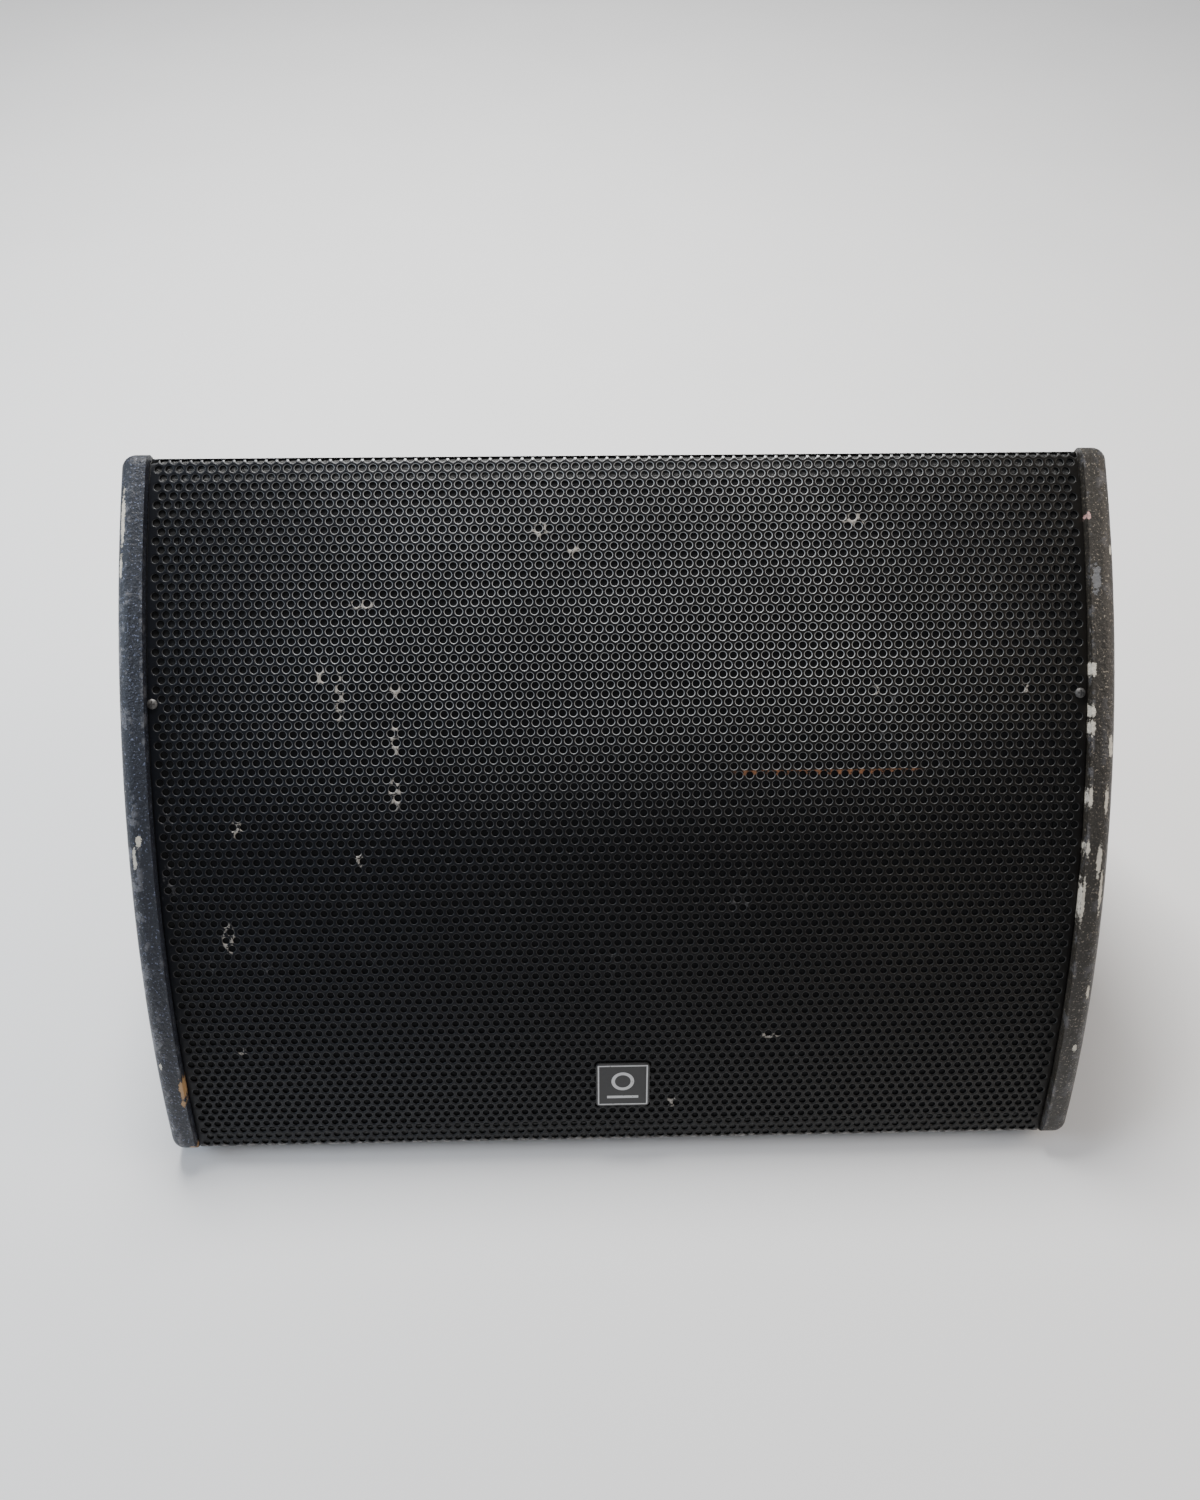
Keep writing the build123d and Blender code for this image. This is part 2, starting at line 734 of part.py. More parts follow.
def waves(start, end, low, high, rise, count):
    """(r, h) along count waves from (start, low) to (end, high), rising and falling by rise."""
    points = []
    for i in range(2 * count + 1):
        share = i / (2 * count)
        swing = rise * (0, 1, 0, -1)[i % 4] if i not in (0, 2 * count) else 0
        points.append((start + (end - start) * share, low + (high - low) * share + swing))
    return points


surround_seat = rim_top + cloth
surround_line = waves(cone_radius, basket_inner, cone_edge_height + cone_paper, surround_seat, surround_wave, 4)
surround_line.append((basket_inner + trim_width + gasket_land, surround_seat))
save(wavy_ring(surround_line, cloth), "woofer_surround")

with BuildPart() as trim_ring:
    with BuildSketch(turning(woofer_x, woofer_s)):
        with Locations((basket_inner + gasket_land, surround_seat)):
            Rectangle(trim_width, trim_thickness, align=Align.MIN)
    turn(woofer_x, woofer_s)
save(trim_ring, "woofer_trim_ring")

spider_seat = ledge_top + cloth
spider_line = waves(coil_radius, spider_ledge, spider_seat, spider_seat, spider_wave, 6)
spider_line.append((basket_foot_radius, spider_seat))
save(wavy_ring(spider_line, cloth), "woofer_spider")

former_low = winding_middle - winding_length / 2 - former_wall
former_high = cone_paper - cone_neck_depth
with BuildPart() as former:
    with BuildSketch(turning(woofer_x, woofer_s)):
        with Locations((coil_radius - former_wall, former_low)):
            Rectangle(former_wall, former_high - former_low, align=Align.MIN)
    turn(woofer_x, woofer_s)
save(former, "voice_coil_former")

with BuildPart() as winding:
    with BuildSketch(turning(woofer_x, woofer_s)):
        with Locations((coil_radius, winding_middle - winding_length / 2)):
            Rectangle(winding_thickness, winding_length, align=Align.MIN)
    turn(woofer_x, woofer_s)
save(winding, "voice_coil_winding")

with BuildPart() as top_plate:
    with BuildSketch(facing(woofer_x, woofer_s, plate_low)):
        Circle(top_plate_radius)
        Circle(coil_radius + winding_thickness + plate_gap, mode=Mode.SUBTRACT)
    extrude(amount=plate_thickness)
save(top_plate, "woofer_top_plate")

with BuildPart() as magnet:
    with BuildSketch(facing(woofer_x, woofer_s, magnet_low)):
        Circle(magnet_radius)
        Circle(magnet_bore, mode=Mode.SUBTRACT)
    extrude(amount=magnet_thickness)
save(magnet, "woofer_magnet")

pole_radius = coil_radius - former_wall - pole_gap
with BuildPart() as yoke:
    with BuildSketch(turning(woofer_x, woofer_s)):
        Polygon(
            (pole_vent, magnet_low - plate_thickness),
            (back_plate_radius, magnet_low - plate_thickness),
            (back_plate_radius, magnet_low),
            (pole_radius, magnet_low),
            (pole_radius, plate_top),
            (pole_vent, plate_top),
            align=None,
        )
    turn(woofer_x, woofer_s)
save(yoke, "woofer_yoke")

terminal_top = plate_top + basket_wall - gasket_land
with BuildPart() as terminals:
    with BuildSketch(facing(woofer_x, woofer_s + basket_foot_radius, terminal_top - block_height)):
        Rectangle(block_width, block_depth, align=(Align.CENTER, Align.MIN))
    extrude(amount=block_height)
    with BuildSketch(facing(woofer_x, woofer_s + basket_foot_radius + block_depth / 2, terminal_top - block_height)):
        with Locations((-lead_spread, 0), (lead_spread, 0)):
            Rectangle(block_height, slot_width)
    extrude(amount=-block_height)
save(terminals, "woofer_terminals")

save(screws(shifted(woofer_front, woofer_bolt_places, rim_top), woofer_bolt), "woofer_bolts")

with BuildPart() as tee_nuts:
    for plane in shifted(woofer_front, woofer_bolt_places, -baffle_board):
        with BuildSketch(plane):
            Circle(tee_flange_radius)
        extrude(amount=-tee_flange)
        with BuildSketch(plane):
            Circle(tee_barrel)
        extrude(amount=tee_length)
        with BuildSketch(plane.offset(-tee_flange)):
            Circle(woofer_bolt[1] + screw_gap)
        extrude(amount=tee_length + tee_flange, mode=Mode.SUBTRACT)
save(tee_nuts, "tee_nuts")


# ---- horn ------------------------------------------------------------------------------------
def flare(extra, top):
    """The horn's flare through its four sections, each wider by twice extra."""
    stations = (
        (top, horn_mouth, horn_flange_corner),
        (-horn_waist_depth, horn_waist, horn_flange_corner),
        (-horn_neck_depth, horn_neck, horn_flange_corner),
        (-horn_depth, (2 * throat_radius, 2 * throat_radius), throat_radius * 0.98),
    )
    with BuildPart() as body:
        for h, (width, height), corner in stations:
            with BuildSketch(facing(horn_x, horn_s, h)):
                RectangleRounded(width + 2 * extra, height + 2 * extra, corner + extra)
        loft()
    return body


with BuildPart() as horn:
    add(flare(horn_wall, gasket_thickness))
    with BuildSketch(facing(horn_x, horn_s, gasket_thickness)):
        RectangleRounded(horn_flange[0], horn_flange[1], horn_flange_corner)
    extrude(amount=rim_thickness)
    with BuildSketch(facing(horn_x, horn_s, -horn_depth)):
        Circle(throat_flange_radius)
    extrude(amount=throat_flange)
    add(flare(0, rim_top), mode=Mode.SUBTRACT)
    drill(
        shifted(facing(horn_x, horn_s, rim_top), horn_screw_places), wood_screw[1] + screw_gap, rim_thickness
    )
save(horn, "horn")

with BuildPart() as gaskets:
    with BuildSketch(woofer_front):
        Circle(woofer_rim - gasket_land)
        Circle(woofer_cutout + gasket_land, mode=Mode.SUBTRACT)
    extrude(amount=gasket_thickness)
    drill(shifted(woofer_front, woofer_bolt_places, gasket_thickness), woofer_bolt[1] + screw_gap, gasket_thickness)
    with BuildSketch(facing(horn_x, horn_s, 0)):
        RectangleRounded(horn_flange[0] - 2 * gasket_land, horn_flange[1] - 2 * gasket_land, horn_flange_corner)
        RectangleRounded(horn_hole[0], horn_hole[1], horn_flange_corner, mode=Mode.SUBTRACT)
    extrude(amount=gasket_thickness)
    drill(
        shifted(facing(horn_x, horn_s, gasket_thickness), horn_screw_places),
        wood_screw[1] + screw_gap,
        gasket_thickness,
    )
save(gaskets, "gaskets")

# ---- compression driver ----------------------------------------------------------------------
hf_front = -horn_depth
hf_plate_low = hf_front - hf_plate
hf_magnet_low = hf_plate_low - hf_magnet_thickness
hf_face = hf_magnet_low - hf_top_plate
hf_bore_top = hf_face + hf_bore_depth
hf_film_top = hf_face - hf_clamp
hf_pole_radius = hf_coil_radius - hf_former_wall - hf_coil_gap

with BuildPart() as hf_pole:
    with BuildSketch(turning(horn_x, horn_s)):
        Polygon(
            (throat_radius, hf_front),
            (hf_radius, hf_front),
            (hf_radius, hf_plate_low),
            (hf_pole_radius, hf_plate_low),
            (hf_pole_radius, hf_face),
            (hf_bore_mouth, hf_face),
            (throat_radius, hf_bore_top),
            align=None,
        )
    turn(horn_x, horn_s)
save(hf_pole, "driver_pole_plate")

with BuildPart() as hf_magnet:
    with BuildSketch(facing(horn_x, horn_s, hf_magnet_low)):
        Circle(hf_radius)
        Circle(hf_magnet_bore, mode=Mode.SUBTRACT)
    extrude(amount=hf_magnet_thickness)
save(hf_magnet, "driver_magnet")

with BuildPart() as hf_ring:
    with BuildSketch(facing(horn_x, horn_s, hf_face)):
        Circle(hf_top_plate_radius)
        Circle(hf_coil_radius + hf_winding + hf_coil_gap, mode=Mode.SUBTRACT)
    extrude(amount=hf_top_plate)
save(hf_ring, "driver_top_plate")

with BuildPart() as phase_plug:
    with BuildSketch(turning(horn_x, horn_s)):
        Polygon(
            (0, hf_face),
            (hf_bore_mouth - plug_slot, hf_face),
            (plug_nose, hf_bore_top + plug_nose),
            (0, hf_bore_top + 2 * plug_nose),
            align=None,
        )
    turn(horn_x, horn_s)
    with BuildSketch(facing(horn_x, horn_s, hf_face)):
        with PolarLocations(0, 3):
            Rectangle(hf_bore_mouth - plug_slot / 2, slot_width, align=(Align.MIN, Align.CENTER))
    extrude(amount=plug_slot)
save(phase_plug, "phase_plug")

dome_rim = hf_coil_radius - hf_former_wall
dome_shares = [i / hf_dome_facets for i in range(hf_dome_facets + 1)]
dome_line = [(dome_rim * share, hf_film_top - hf_dome_rise * (1 - share**2)) for share in dome_shares]
with BuildPart() as dome:
    with BuildSketch(turning(horn_x, horn_s)):
        Polygon(*dome_line, *[(r, h - hf_film) for r, h in reversed(dome_line)], align=None)
    turn(horn_x, horn_s)
save(dome, "driver_diaphragm")

hf_coil_low = hf_film_top - hf_film
with BuildPart() as hf_coil:
    with BuildSketch(turning(horn_x, horn_s)):
        with Locations((dome_rim, hf_coil_low)):
            Rectangle(hf_former_wall, hf_film + hf_clamp + hf_winding_length, align=Align.MIN)
        with Locations((hf_coil_radius, hf_face)):
            Rectangle(hf_winding, hf_winding_length, align=Align.MIN)
    turn(horn_x, horn_s)
save(hf_coil, "driver_voice_coil")

with BuildPart() as hf_suspension:
    with BuildSketch(turning(horn_x, horn_s)):
        with Locations((hf_coil_radius, hf_film_top - hf_film)):
            Rectangle(hf_clamp_outer - hf_coil_radius - hf_clamp, hf_film, align=Align.MIN)
    turn(horn_x, horn_s)
save(hf_suspension, "driver_suspension")

with BuildPart() as hf_clamp_ring:
    with BuildSketch(turning(horn_x, horn_s)):
        with Locations((hf_clamp_inner, hf_film_top)):
            Rectangle(hf_clamp_outer - hf_clamp_inner, hf_clamp, align=Align.MIN)
    turn(horn_x, horn_s)
save(hf_clamp_ring, "driver_clamp_ring")

hf_cap_top = hf_film_top - hf_film
with BuildPart() as hf_cap:
    with BuildSketch(facing(horn_x, horn_s, hf_cap_top)):
        Circle(hf_cap_radius)
    extrude(amount=-hf_cap_depth)
    fillet(hf_cap.edges().sort_by(Axis(spot(horn_x, horn_s, 0), outward))[0], hf_cap_wall)
    with BuildSketch(facing(horn_x, horn_s, hf_cap_top)):
        Circle(hf_clamp_inner)
    extrude(amount=hf_cap_wall - hf_cap_depth, mode=Mode.SUBTRACT)
save(hf_cap, "driver_rear_cap")

hf_block_x = horn_x - hf_top_plate_radius
with BuildPart() as hf_terminals:
    with BuildSketch(facing(hf_block_x, horn_s, hf_face)):
        Rectangle(block_height, block_width, align=(Align.MAX, Align.CENTER))
    extrude(amount=hf_top_plate)
    with BuildSketch(facing(hf_block_x - block_height / 2, horn_s, hf_face)):
        with Locations((0, -lead_spread), (0, lead_spread)):
            Rectangle(slot_width, block_height)
    extrude(amount=-block_height)
save(hf_terminals, "driver_terminals")

# ---- ports -----------------------------------------------------------------------------------
with BuildPart() as port_tubes:
    for plane in port_planes:
        with BuildSketch(plane):
            Circle(port_flange)
        extrude(amount=port_flange_thickness)
        with BuildSketch(plane):
            Circle(port_radius + port_wall)
        extrude(amount=-port_length)
        with BuildSketch(plane.offset(port_flange_thickness)):
            Circle(port_radius)
        extrude(amount=-port_length - port_flange_thickness, mode=Mode.SUBTRACT)
save(port_tubes, "port_tubes")


# ---- side fittings ---------------------------------------------------------------------------
def recessed_pan(face, plate, opening, depth, wall, corner, places):
    """A flanged pan let into an end board, with its screw holes."""
    with BuildPart() as pan:
        with BuildSketch(face):
            RectangleRounded(plate[0], plate[1], corner)
        extrude(amount=fitting_plate)
        with BuildSketch(face):
            RectangleRounded(opening[0] + 2 * wall, opening[1] + 2 * wall, corner + wall)
        extrude(amount=-depth)
        with BuildSketch(face.offset(fitting_plate)):
            RectangleRounded(opening[0], opening[1], corner)
        extrude(amount=-(depth + fitting_plate - wall), mode=Mode.SUBTRACT)
        drill(shifted(face, places, fitting_plate), wood_screw[1] + screw_gap, fitting_plate)
    return pan


dish_floor = left_face.offset(dish_wall - dish_depth)
socket_places = [(u, 0) for u in socket_offsets]
with BuildPart() as input_dish:
    add(recessed_pan(left_face, dish_plate, dish_opening, dish_depth, dish_wall, dish_corner, dish_screw_places))
    drill(shifted(dish_floor, socket_places), socket_radius + screw_gap, dish_wall)
    drill(shifted(dish_floor, [(jack_offset, 0)]), jack_thread + screw_gap, dish_wall)
save(input_dish, "input_dish")

with BuildPart() as speaker_sockets:
    for plane in shifted(dish_floor, socket_places):
        with BuildSketch(plane):
            RectangleRounded(socket_flange[0], socket_flange[1], socket_flange_thickness)
        extrude(amount=socket_flange_thickness)
        with BuildSketch(plane):
            Circle(socket_radius)
        extrude(amount=socket_flange_thickness - socket_length)
        with BuildSketch(plane.offset(socket_flange_thickness)):
            Circle(socket_mouth)
            Circle(socket_post, mode=Mode.SUBTRACT)
        extrude(amount=-socket_cavity, mode=Mode.SUBTRACT)
save(speaker_sockets, "speaker_sockets")

with BuildPart() as jack_socket:
    plane = shifted(dish_floor, [(jack_offset, 0)])[0]
    with BuildSketch(plane):
        RegularPolygon(jack_nut_radius, 6)
    extrude(amount=jack_nut)
    with BuildSketch(plane):
        Circle(jack_thread)
    extrude(amount=-dish_wall)
    with BuildSketch(plane.offset(-dish_wall)):
        Rectangle(jack_body, jack_body)
    extrude(amount=dish_wall - jack_length)
    drill([plane.offset(jack_nut)], jack_bore, jack_length - dish_wall)
save(jack_socket, "jack_socket")

handle_pan = recessed_pan(
    right_face, handle_plate, handle_opening, handle_depth, handle_wall, handle_corner, handle_screw_places
)
save(handle_pan, "handle_pan")

bar_plane = Plane(
    origin=right_face.from_local_coords((-handle_opening[0] / 2, 0, -bar_below_face)), x_dir=(0, 0, 1), z_dir=(0, 1, 0)
)
grip_start = (handle_opening[0] - grip_length) / 2
with BuildPart() as handle_bar:
    with BuildSketch(bar_plane):
        Circle(bar_radius)
    extrude(amount=handle_opening[0])
save(handle_bar, "handle_bar")

with BuildPart() as handle_grip:
    with BuildSketch(bar_plane.offset(grip_start)):
        Circle(grip_radius)
        Circle(bar_radius, mode=Mode.SUBTRACT)
    extrude(amount=grip_length)
save(handle_grip, "handle_grip")

# ---- the wood screws of feet, horn, dish and handle -------------------------------------------
wood_screw_planes = [plane.offset(foot_height - foot_recess) for plane in bottom_foot_planes + rear_foot_planes]
wood_screw_planes += shifted(facing(horn_x, horn_s, rim_top), horn_screw_places)
wood_screw_planes += shifted(left_face, dish_screw_places, fitting_plate)
wood_screw_planes += shifted(right_face, handle_screw_places, fitting_plate)
save(screws(wood_screw_planes, wood_screw), "wood_screws")

# ---- crossover -------------------------------------------------------------------------------
board_top = crossover_plane.offset(standoff_height + circuit_board)
with BuildPart() as circuit:
    with BuildSketch(crossover_plane.offset(standoff_height)):
        Rectangle(*crossover_size)
    extrude(amount=circuit_board)
    drill(shifted(board_top, standoff_places), board_screw[1] + screw_gap, circuit_board)
save(circuit, "crossover_board")

with BuildPart() as standoffs:
    for plane in shifted(crossover_plane, standoff_places):
        with BuildSketch(plane):
            Circle(standoff_radius)
            Circle(board_screw[1] + screw_gap, mode=Mode.SUBTRACT)
        extrude(amount=standoff_height)
save(standoffs, "crossover_standoffs")

save(screws(shifted(board_top, standoff_places), board_screw), "crossover_screws")

with BuildPart() as coils:
    for plane in shifted(board_top, coil_places):
        with BuildSketch(plane):
            Circle(coil_outer)
            Circle(coil_inner, mode=Mode.SUBTRACT)
        extrude(amount=coil_height)
save(coils, "crossover_coils")

with BuildPart() as capacitors:
    for plane in shifted(board_top, capacitor_places, capacitor_radius):
        with BuildSketch(Plane(origin=plane.origin, x_dir=(0, 1, 0), z_dir=(1, 0, 0))):
            Circle(capacitor_radius)
        extrude(amount=capacitor_length / 2, both=True)
save(capacitors, "crossover_capacitors")

with BuildPart() as resistors:
    for plane in shifted(board_top, resistor_places):
        with BuildSketch(plane):
            Rectangle(resistor_size[0], resistor_size[1])
        extrude(amount=resistor_size[2])
save(resistors, "crossover_resistors")

with BuildPart() as blocks:
    for plane in shifted(board_top, (input_block, woofer_block, horn_block)):
        with BuildSketch(plane):
            Rectangle(block_size[0], block_size[1])
        extrude(amount=block_size[2])
save(blocks, "crossover_terminals")

# ---- lining ----------------------------------------------------------------------------------
with BuildPart() as lining:
    with BuildSketch(Plane.YZ.offset(-lining_width / 2)):
        Polygon(
            rear_point(lining_low, shell_board),
            rear_point(lining_high, shell_board),
            rear_point(lining_high, shell_board + lining_thickness),
            rear_point(lining_low, shell_board + lining_thickness),
            align=None,
        )
    extrude(amount=lining_width)
save(lining, "damping_lining")


# ---- wiring ----------------------------------------------------------------------------------
def cable(points, name):
    """One cable: straight runs joined by arcs as large as the runs allow."""
    radii = []
    for before, corner, after in zip(points, points[1:], points[2:]):
        turned = math.radians((corner - before).get_angle(after - corner))
        shorter = min((corner - before).length, (after - corner).length)
        radii.append(cable_bend * shorter / math.tan(turned / 2))
    with BuildPart() as tube:
        with BuildLine() as route:
            FilletPolyline(*points, radius=radii)
        with BuildSketch(Plane(origin=points[0], z_dir=points[1] - points[0])):
            Circle(cable_radius)
        sweep(path=route.line)
    save(tube, name)


def block_top(place):
    """The middle of a terminal block's upper face on the crossover board."""
    return board_top.from_local_coords((place[0], place[1], block_size[2]))


socket_end = dish_floor.from_local_coords((socket_offsets[1], 0, socket_flange_thickness - socket_length))
input_end = block_top(input_block)
input_lift = Vector(0, 0, cable_rise)
input_turn = Vector(socket_end.X + cable_rise, socket_end.Y, socket_end.Z)
input_corner = Vector(input_turn.X, input_end.Y, input_end.Z + cable_rise)
cable([socket_end, input_turn, input_corner, input_end + input_lift, input_end], "input_cable")

woofer_start = block_top(woofer_block)
woofer_end = spot(woofer_x, woofer_s + basket_foot_radius + block_depth / 2, terminal_top - block_height)
woofer_approach = woofer_end - outward * 1.5 * cable_rise
woofer_level = Vector(woofer_x / 2, woofer_approach.Y, woofer_start.Z + cable_rise)
cable(
    [woofer_start, woofer_start + Vector(0, 0, cable_rise), woofer_level, woofer_approach, woofer_end], "woofer_cable"
)

horn_start = block_top(horn_block)
horn_end = spot(hf_block_x - block_height / 2, horn_s, hf_face)
cable(
    [horn_start, horn_start + Vector(0, 0, cable_rise), horn_end - outward * 1.5 * cable_rise, horn_end], "horn_cable"
)
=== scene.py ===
import json
import math

import bpy
import numpy as np
from mathutils import Matrix, Vector


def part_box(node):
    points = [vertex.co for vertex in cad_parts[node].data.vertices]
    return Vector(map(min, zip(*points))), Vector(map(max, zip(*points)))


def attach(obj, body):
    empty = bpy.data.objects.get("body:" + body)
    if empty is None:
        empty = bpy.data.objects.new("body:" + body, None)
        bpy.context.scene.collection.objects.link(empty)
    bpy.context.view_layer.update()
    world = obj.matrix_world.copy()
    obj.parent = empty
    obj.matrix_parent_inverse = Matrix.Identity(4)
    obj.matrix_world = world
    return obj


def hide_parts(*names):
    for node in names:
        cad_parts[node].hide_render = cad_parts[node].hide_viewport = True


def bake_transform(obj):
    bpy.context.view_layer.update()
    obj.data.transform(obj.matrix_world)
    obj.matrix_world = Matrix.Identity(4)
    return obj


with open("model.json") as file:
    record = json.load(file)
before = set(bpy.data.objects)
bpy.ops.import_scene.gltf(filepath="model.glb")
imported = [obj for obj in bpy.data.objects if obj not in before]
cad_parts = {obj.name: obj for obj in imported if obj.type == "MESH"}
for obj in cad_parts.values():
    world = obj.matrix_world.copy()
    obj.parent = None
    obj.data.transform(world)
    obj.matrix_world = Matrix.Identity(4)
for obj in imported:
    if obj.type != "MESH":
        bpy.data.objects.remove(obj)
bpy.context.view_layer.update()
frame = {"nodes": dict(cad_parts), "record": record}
nodes = frame["nodes"]

# ---------------------------------------------------------------- the section, from the CAD
LEAN = math.radians(48.0)  # of the front's chord, from the floor
BOW = 0.707  # radius of the grille's outer face
CHORD = 0.492  # toe to apex
DEPTH = 0.430  # toe to heel, along the underside
SHEET = 0.0012
ALONG = Vector((0, math.cos(LEAN), math.sin(LEAN)))
OUT = Vector((0, -math.sin(LEAN), math.cos(LEAN)))
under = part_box("bottom_board")[0].z
baffle_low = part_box("baffle")[0]
TOE = Vector((0, baffle_low.y - (baffle_low.z - under) / math.tan(LEAN), under))
CENTRE = TOE + ALONG * (CHORD / 2) - OUT * math.sqrt(BOW ** 2 - (CHORD / 2) ** 2)
ARC = 2 * BOW * math.asin(CHORD / 2 / BOW)
OUTER_FACE = abs(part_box("left_end_board")[0].x)
INNER_FACE = abs(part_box("left_end_board")[1].x)
EDGE = abs(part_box("grille")[0].x)


def bow_frame(arc):
    """The outward normal and the upward tangent of the bow at arc up from its middle."""
    a = arc / BOW
    return OUT * math.cos(a) + ALONG * math.sin(a), ALONG * math.cos(a) - OUT * math.sin(a)


def on_bow(x, arc, h=0.0):
    """The point at x, arc up from the bow's middle and h out from its face."""
    n, _ = bow_frame(arc)
    return Vector((x, 0, 0)) + CENTRE + n * (BOW + h)


# ---------------------------------------------------------------- materials
class Nodes:
    """A short way to write a node tree."""

    def __init__(self, name):
        self.mat = bpy.data.materials.new(name)
        self.mat.use_nodes = True
        self.t = self.mat.node_tree
        self.bsdf = self.t.nodes["Principled BSDF"]

    def add(self, kind, **props):
        n = self.t.nodes.new(kind)
        for k, v in props.items():
            setattr(n, k, v)
        return n

    def put(self, value, socket):
        if isinstance(value, bpy.types.NodeSocket):
            self.t.links.new(value, socket)
        else:
            socket.default_value = value

    def math(self, op, a, b=0.0, c=0.0, clamp=False):
        n = self.add("ShaderNodeMath", operation=op, use_clamp=clamp)
        for i, v in enumerate((a, b, c)):
            if i < len(n.inputs):
                self.put(v, n.inputs[i])
        return n.outputs[0]

    def ramp(self, value, lo, hi):
        """0 below lo, 1 above hi, smooth between."""
        n = self.add("ShaderNodeMapRange", interpolation_type="SMOOTHSTEP")
        self.put(value, n.inputs["Value"])
        n.inputs["From Min"].default_value = lo
        n.inputs["From Max"].default_value = hi
        return n.outputs[0]

    def inverse(self, value):
        return self.math("SUBTRACT", 1.0, value)

    def length(self, a, b):
        """The length of the flat vector (a, b)."""
        return self.math("SQRT", self.math("ADD", self.math("MULTIPLY", a, a), self.math("MULTIPLY", b, b)))

    def band(self, value, centre, half, soft):
        """1 within half of the centre, and 0 from soft beyond that."""
        away = self.math("ABSOLUTE", self.math("SUBTRACT", value, centre))
        return self.inverse(self.ramp(away, half, half + soft))

    def ellipse(self, x, arc, middle, half_sizes):
        """0 in the middle of an upright ellipse and 1 on its edge."""
        across = self.math("DIVIDE", self.math("SUBTRACT", x, middle[0]), half_sizes[0])
        upward = self.math("DIVIDE", self.math("SUBTRACT", arc, middle[1]), half_sizes[1])
        return self.length(across, upward)

    def noise(self, scale, detail=3.0, rough=0.55, stretch=None, offset=0.0):
        co = self.add("ShaderNodeTexCoord").outputs["Object"]
        m = self.add("ShaderNodeMapping")
        self.put(co, m.inputs["Vector"])
        m.inputs["Scale"].default_value = stretch or (1, 1, 1)
        m.inputs["Location"].default_value = (offset, offset * 0.7, offset * 1.3)
        n = self.add("ShaderNodeTexNoise")
        self.put(m.outputs[0], n.inputs["Vector"])
        n.inputs["Scale"].default_value = scale
        n.inputs["Detail"].default_value = detail
        n.inputs["Roughness"].default_value = rough
        return n.outputs["Fac"]

    def mix(self, fac, a, b):
        n = self.add("ShaderNodeMix", data_type="RGBA")
        self.put(fac, n.inputs["Factor"])
        for v, i in ((a, 6), (b, 7)):
            self.put(v if isinstance(v, bpy.types.NodeSocket) else (*v, 1.0), n.inputs[i])
        return n.outputs[2]

    def position(self):
        """x, arc up the bow and distance out from the grille's face."""
        co = self.add("ShaderNodeTexCoord").outputs["Object"]
        s = self.add("ShaderNodeSeparateXYZ")
        self.put(co, s.inputs[0])
        y = self.math("SUBTRACT", s.outputs[1], CENTRE.y)
        z = self.math("SUBTRACT", s.outputs[2], CENTRE.z)
        along = self.math("ADD", self.math("MULTIPLY", y, ALONG.y), self.math("MULTIPLY", z, ALONG.z))
        out = self.math("ADD", self.math("MULTIPLY", y, OUT.y), self.math("MULTIPLY", z, OUT.z))
        r = self.length(y, z)
        arc = self.math("MULTIPLY", self.math("ARCTAN2", along, out), BOW)
        return s.outputs[0], arc, self.math("SUBTRACT", r, BOW)

    def bump(self, height, strength, distance):
        n = self.add("ShaderNodeBump")
        self.put(height, n.inputs["Height"])
        n.inputs["Strength"].default_value = strength
        n.inputs["Distance"].default_value = distance
        self.put(n.outputs[0], self.bsdf.inputs["Normal"])


def plain(name, colour, rough, metallic=0.0, scale=60.0, spread=0.25, bump=0.15, depth=0.0003):
    """A finish with uneven tone, uneven gloss and a little relief."""
    k = Nodes(name)
    n = k.noise(scale)
    fine = k.noise(scale * 12, 2.0)
    dark = tuple(c * (1 - spread) for c in colour)
    light = tuple(min(1.0, c * (1 + spread)) for c in colour)
    k.put(k.mix(n, dark, light), k.bsdf.inputs["Base Color"])
    uneven = k.math("MULTIPLY", k.math("SUBTRACT", n, 0.5), 0.25)
    k.put(k.math("ADD", uneven, rough), k.bsdf.inputs["Roughness"])
    k.bsdf.inputs["Metallic"].default_value = metallic
    k.bump(fine, bump, depth)
    return k.mat


def ply(name):
    """Bare plywood: long grain and ply lines."""
    k = Nodes(name)
    g = k.noise(14, 5, 0.6, (1.5, 14, 14))
    k.put(k.mix(g, (0.30, 0.19, 0.10), (0.55, 0.41, 0.25)), k.bsdf.inputs["Base Color"])
    k.bsdf.inputs["Roughness"].default_value = 0.7
    k.bump(g, 0.2, 0.0004)
    return k.mat


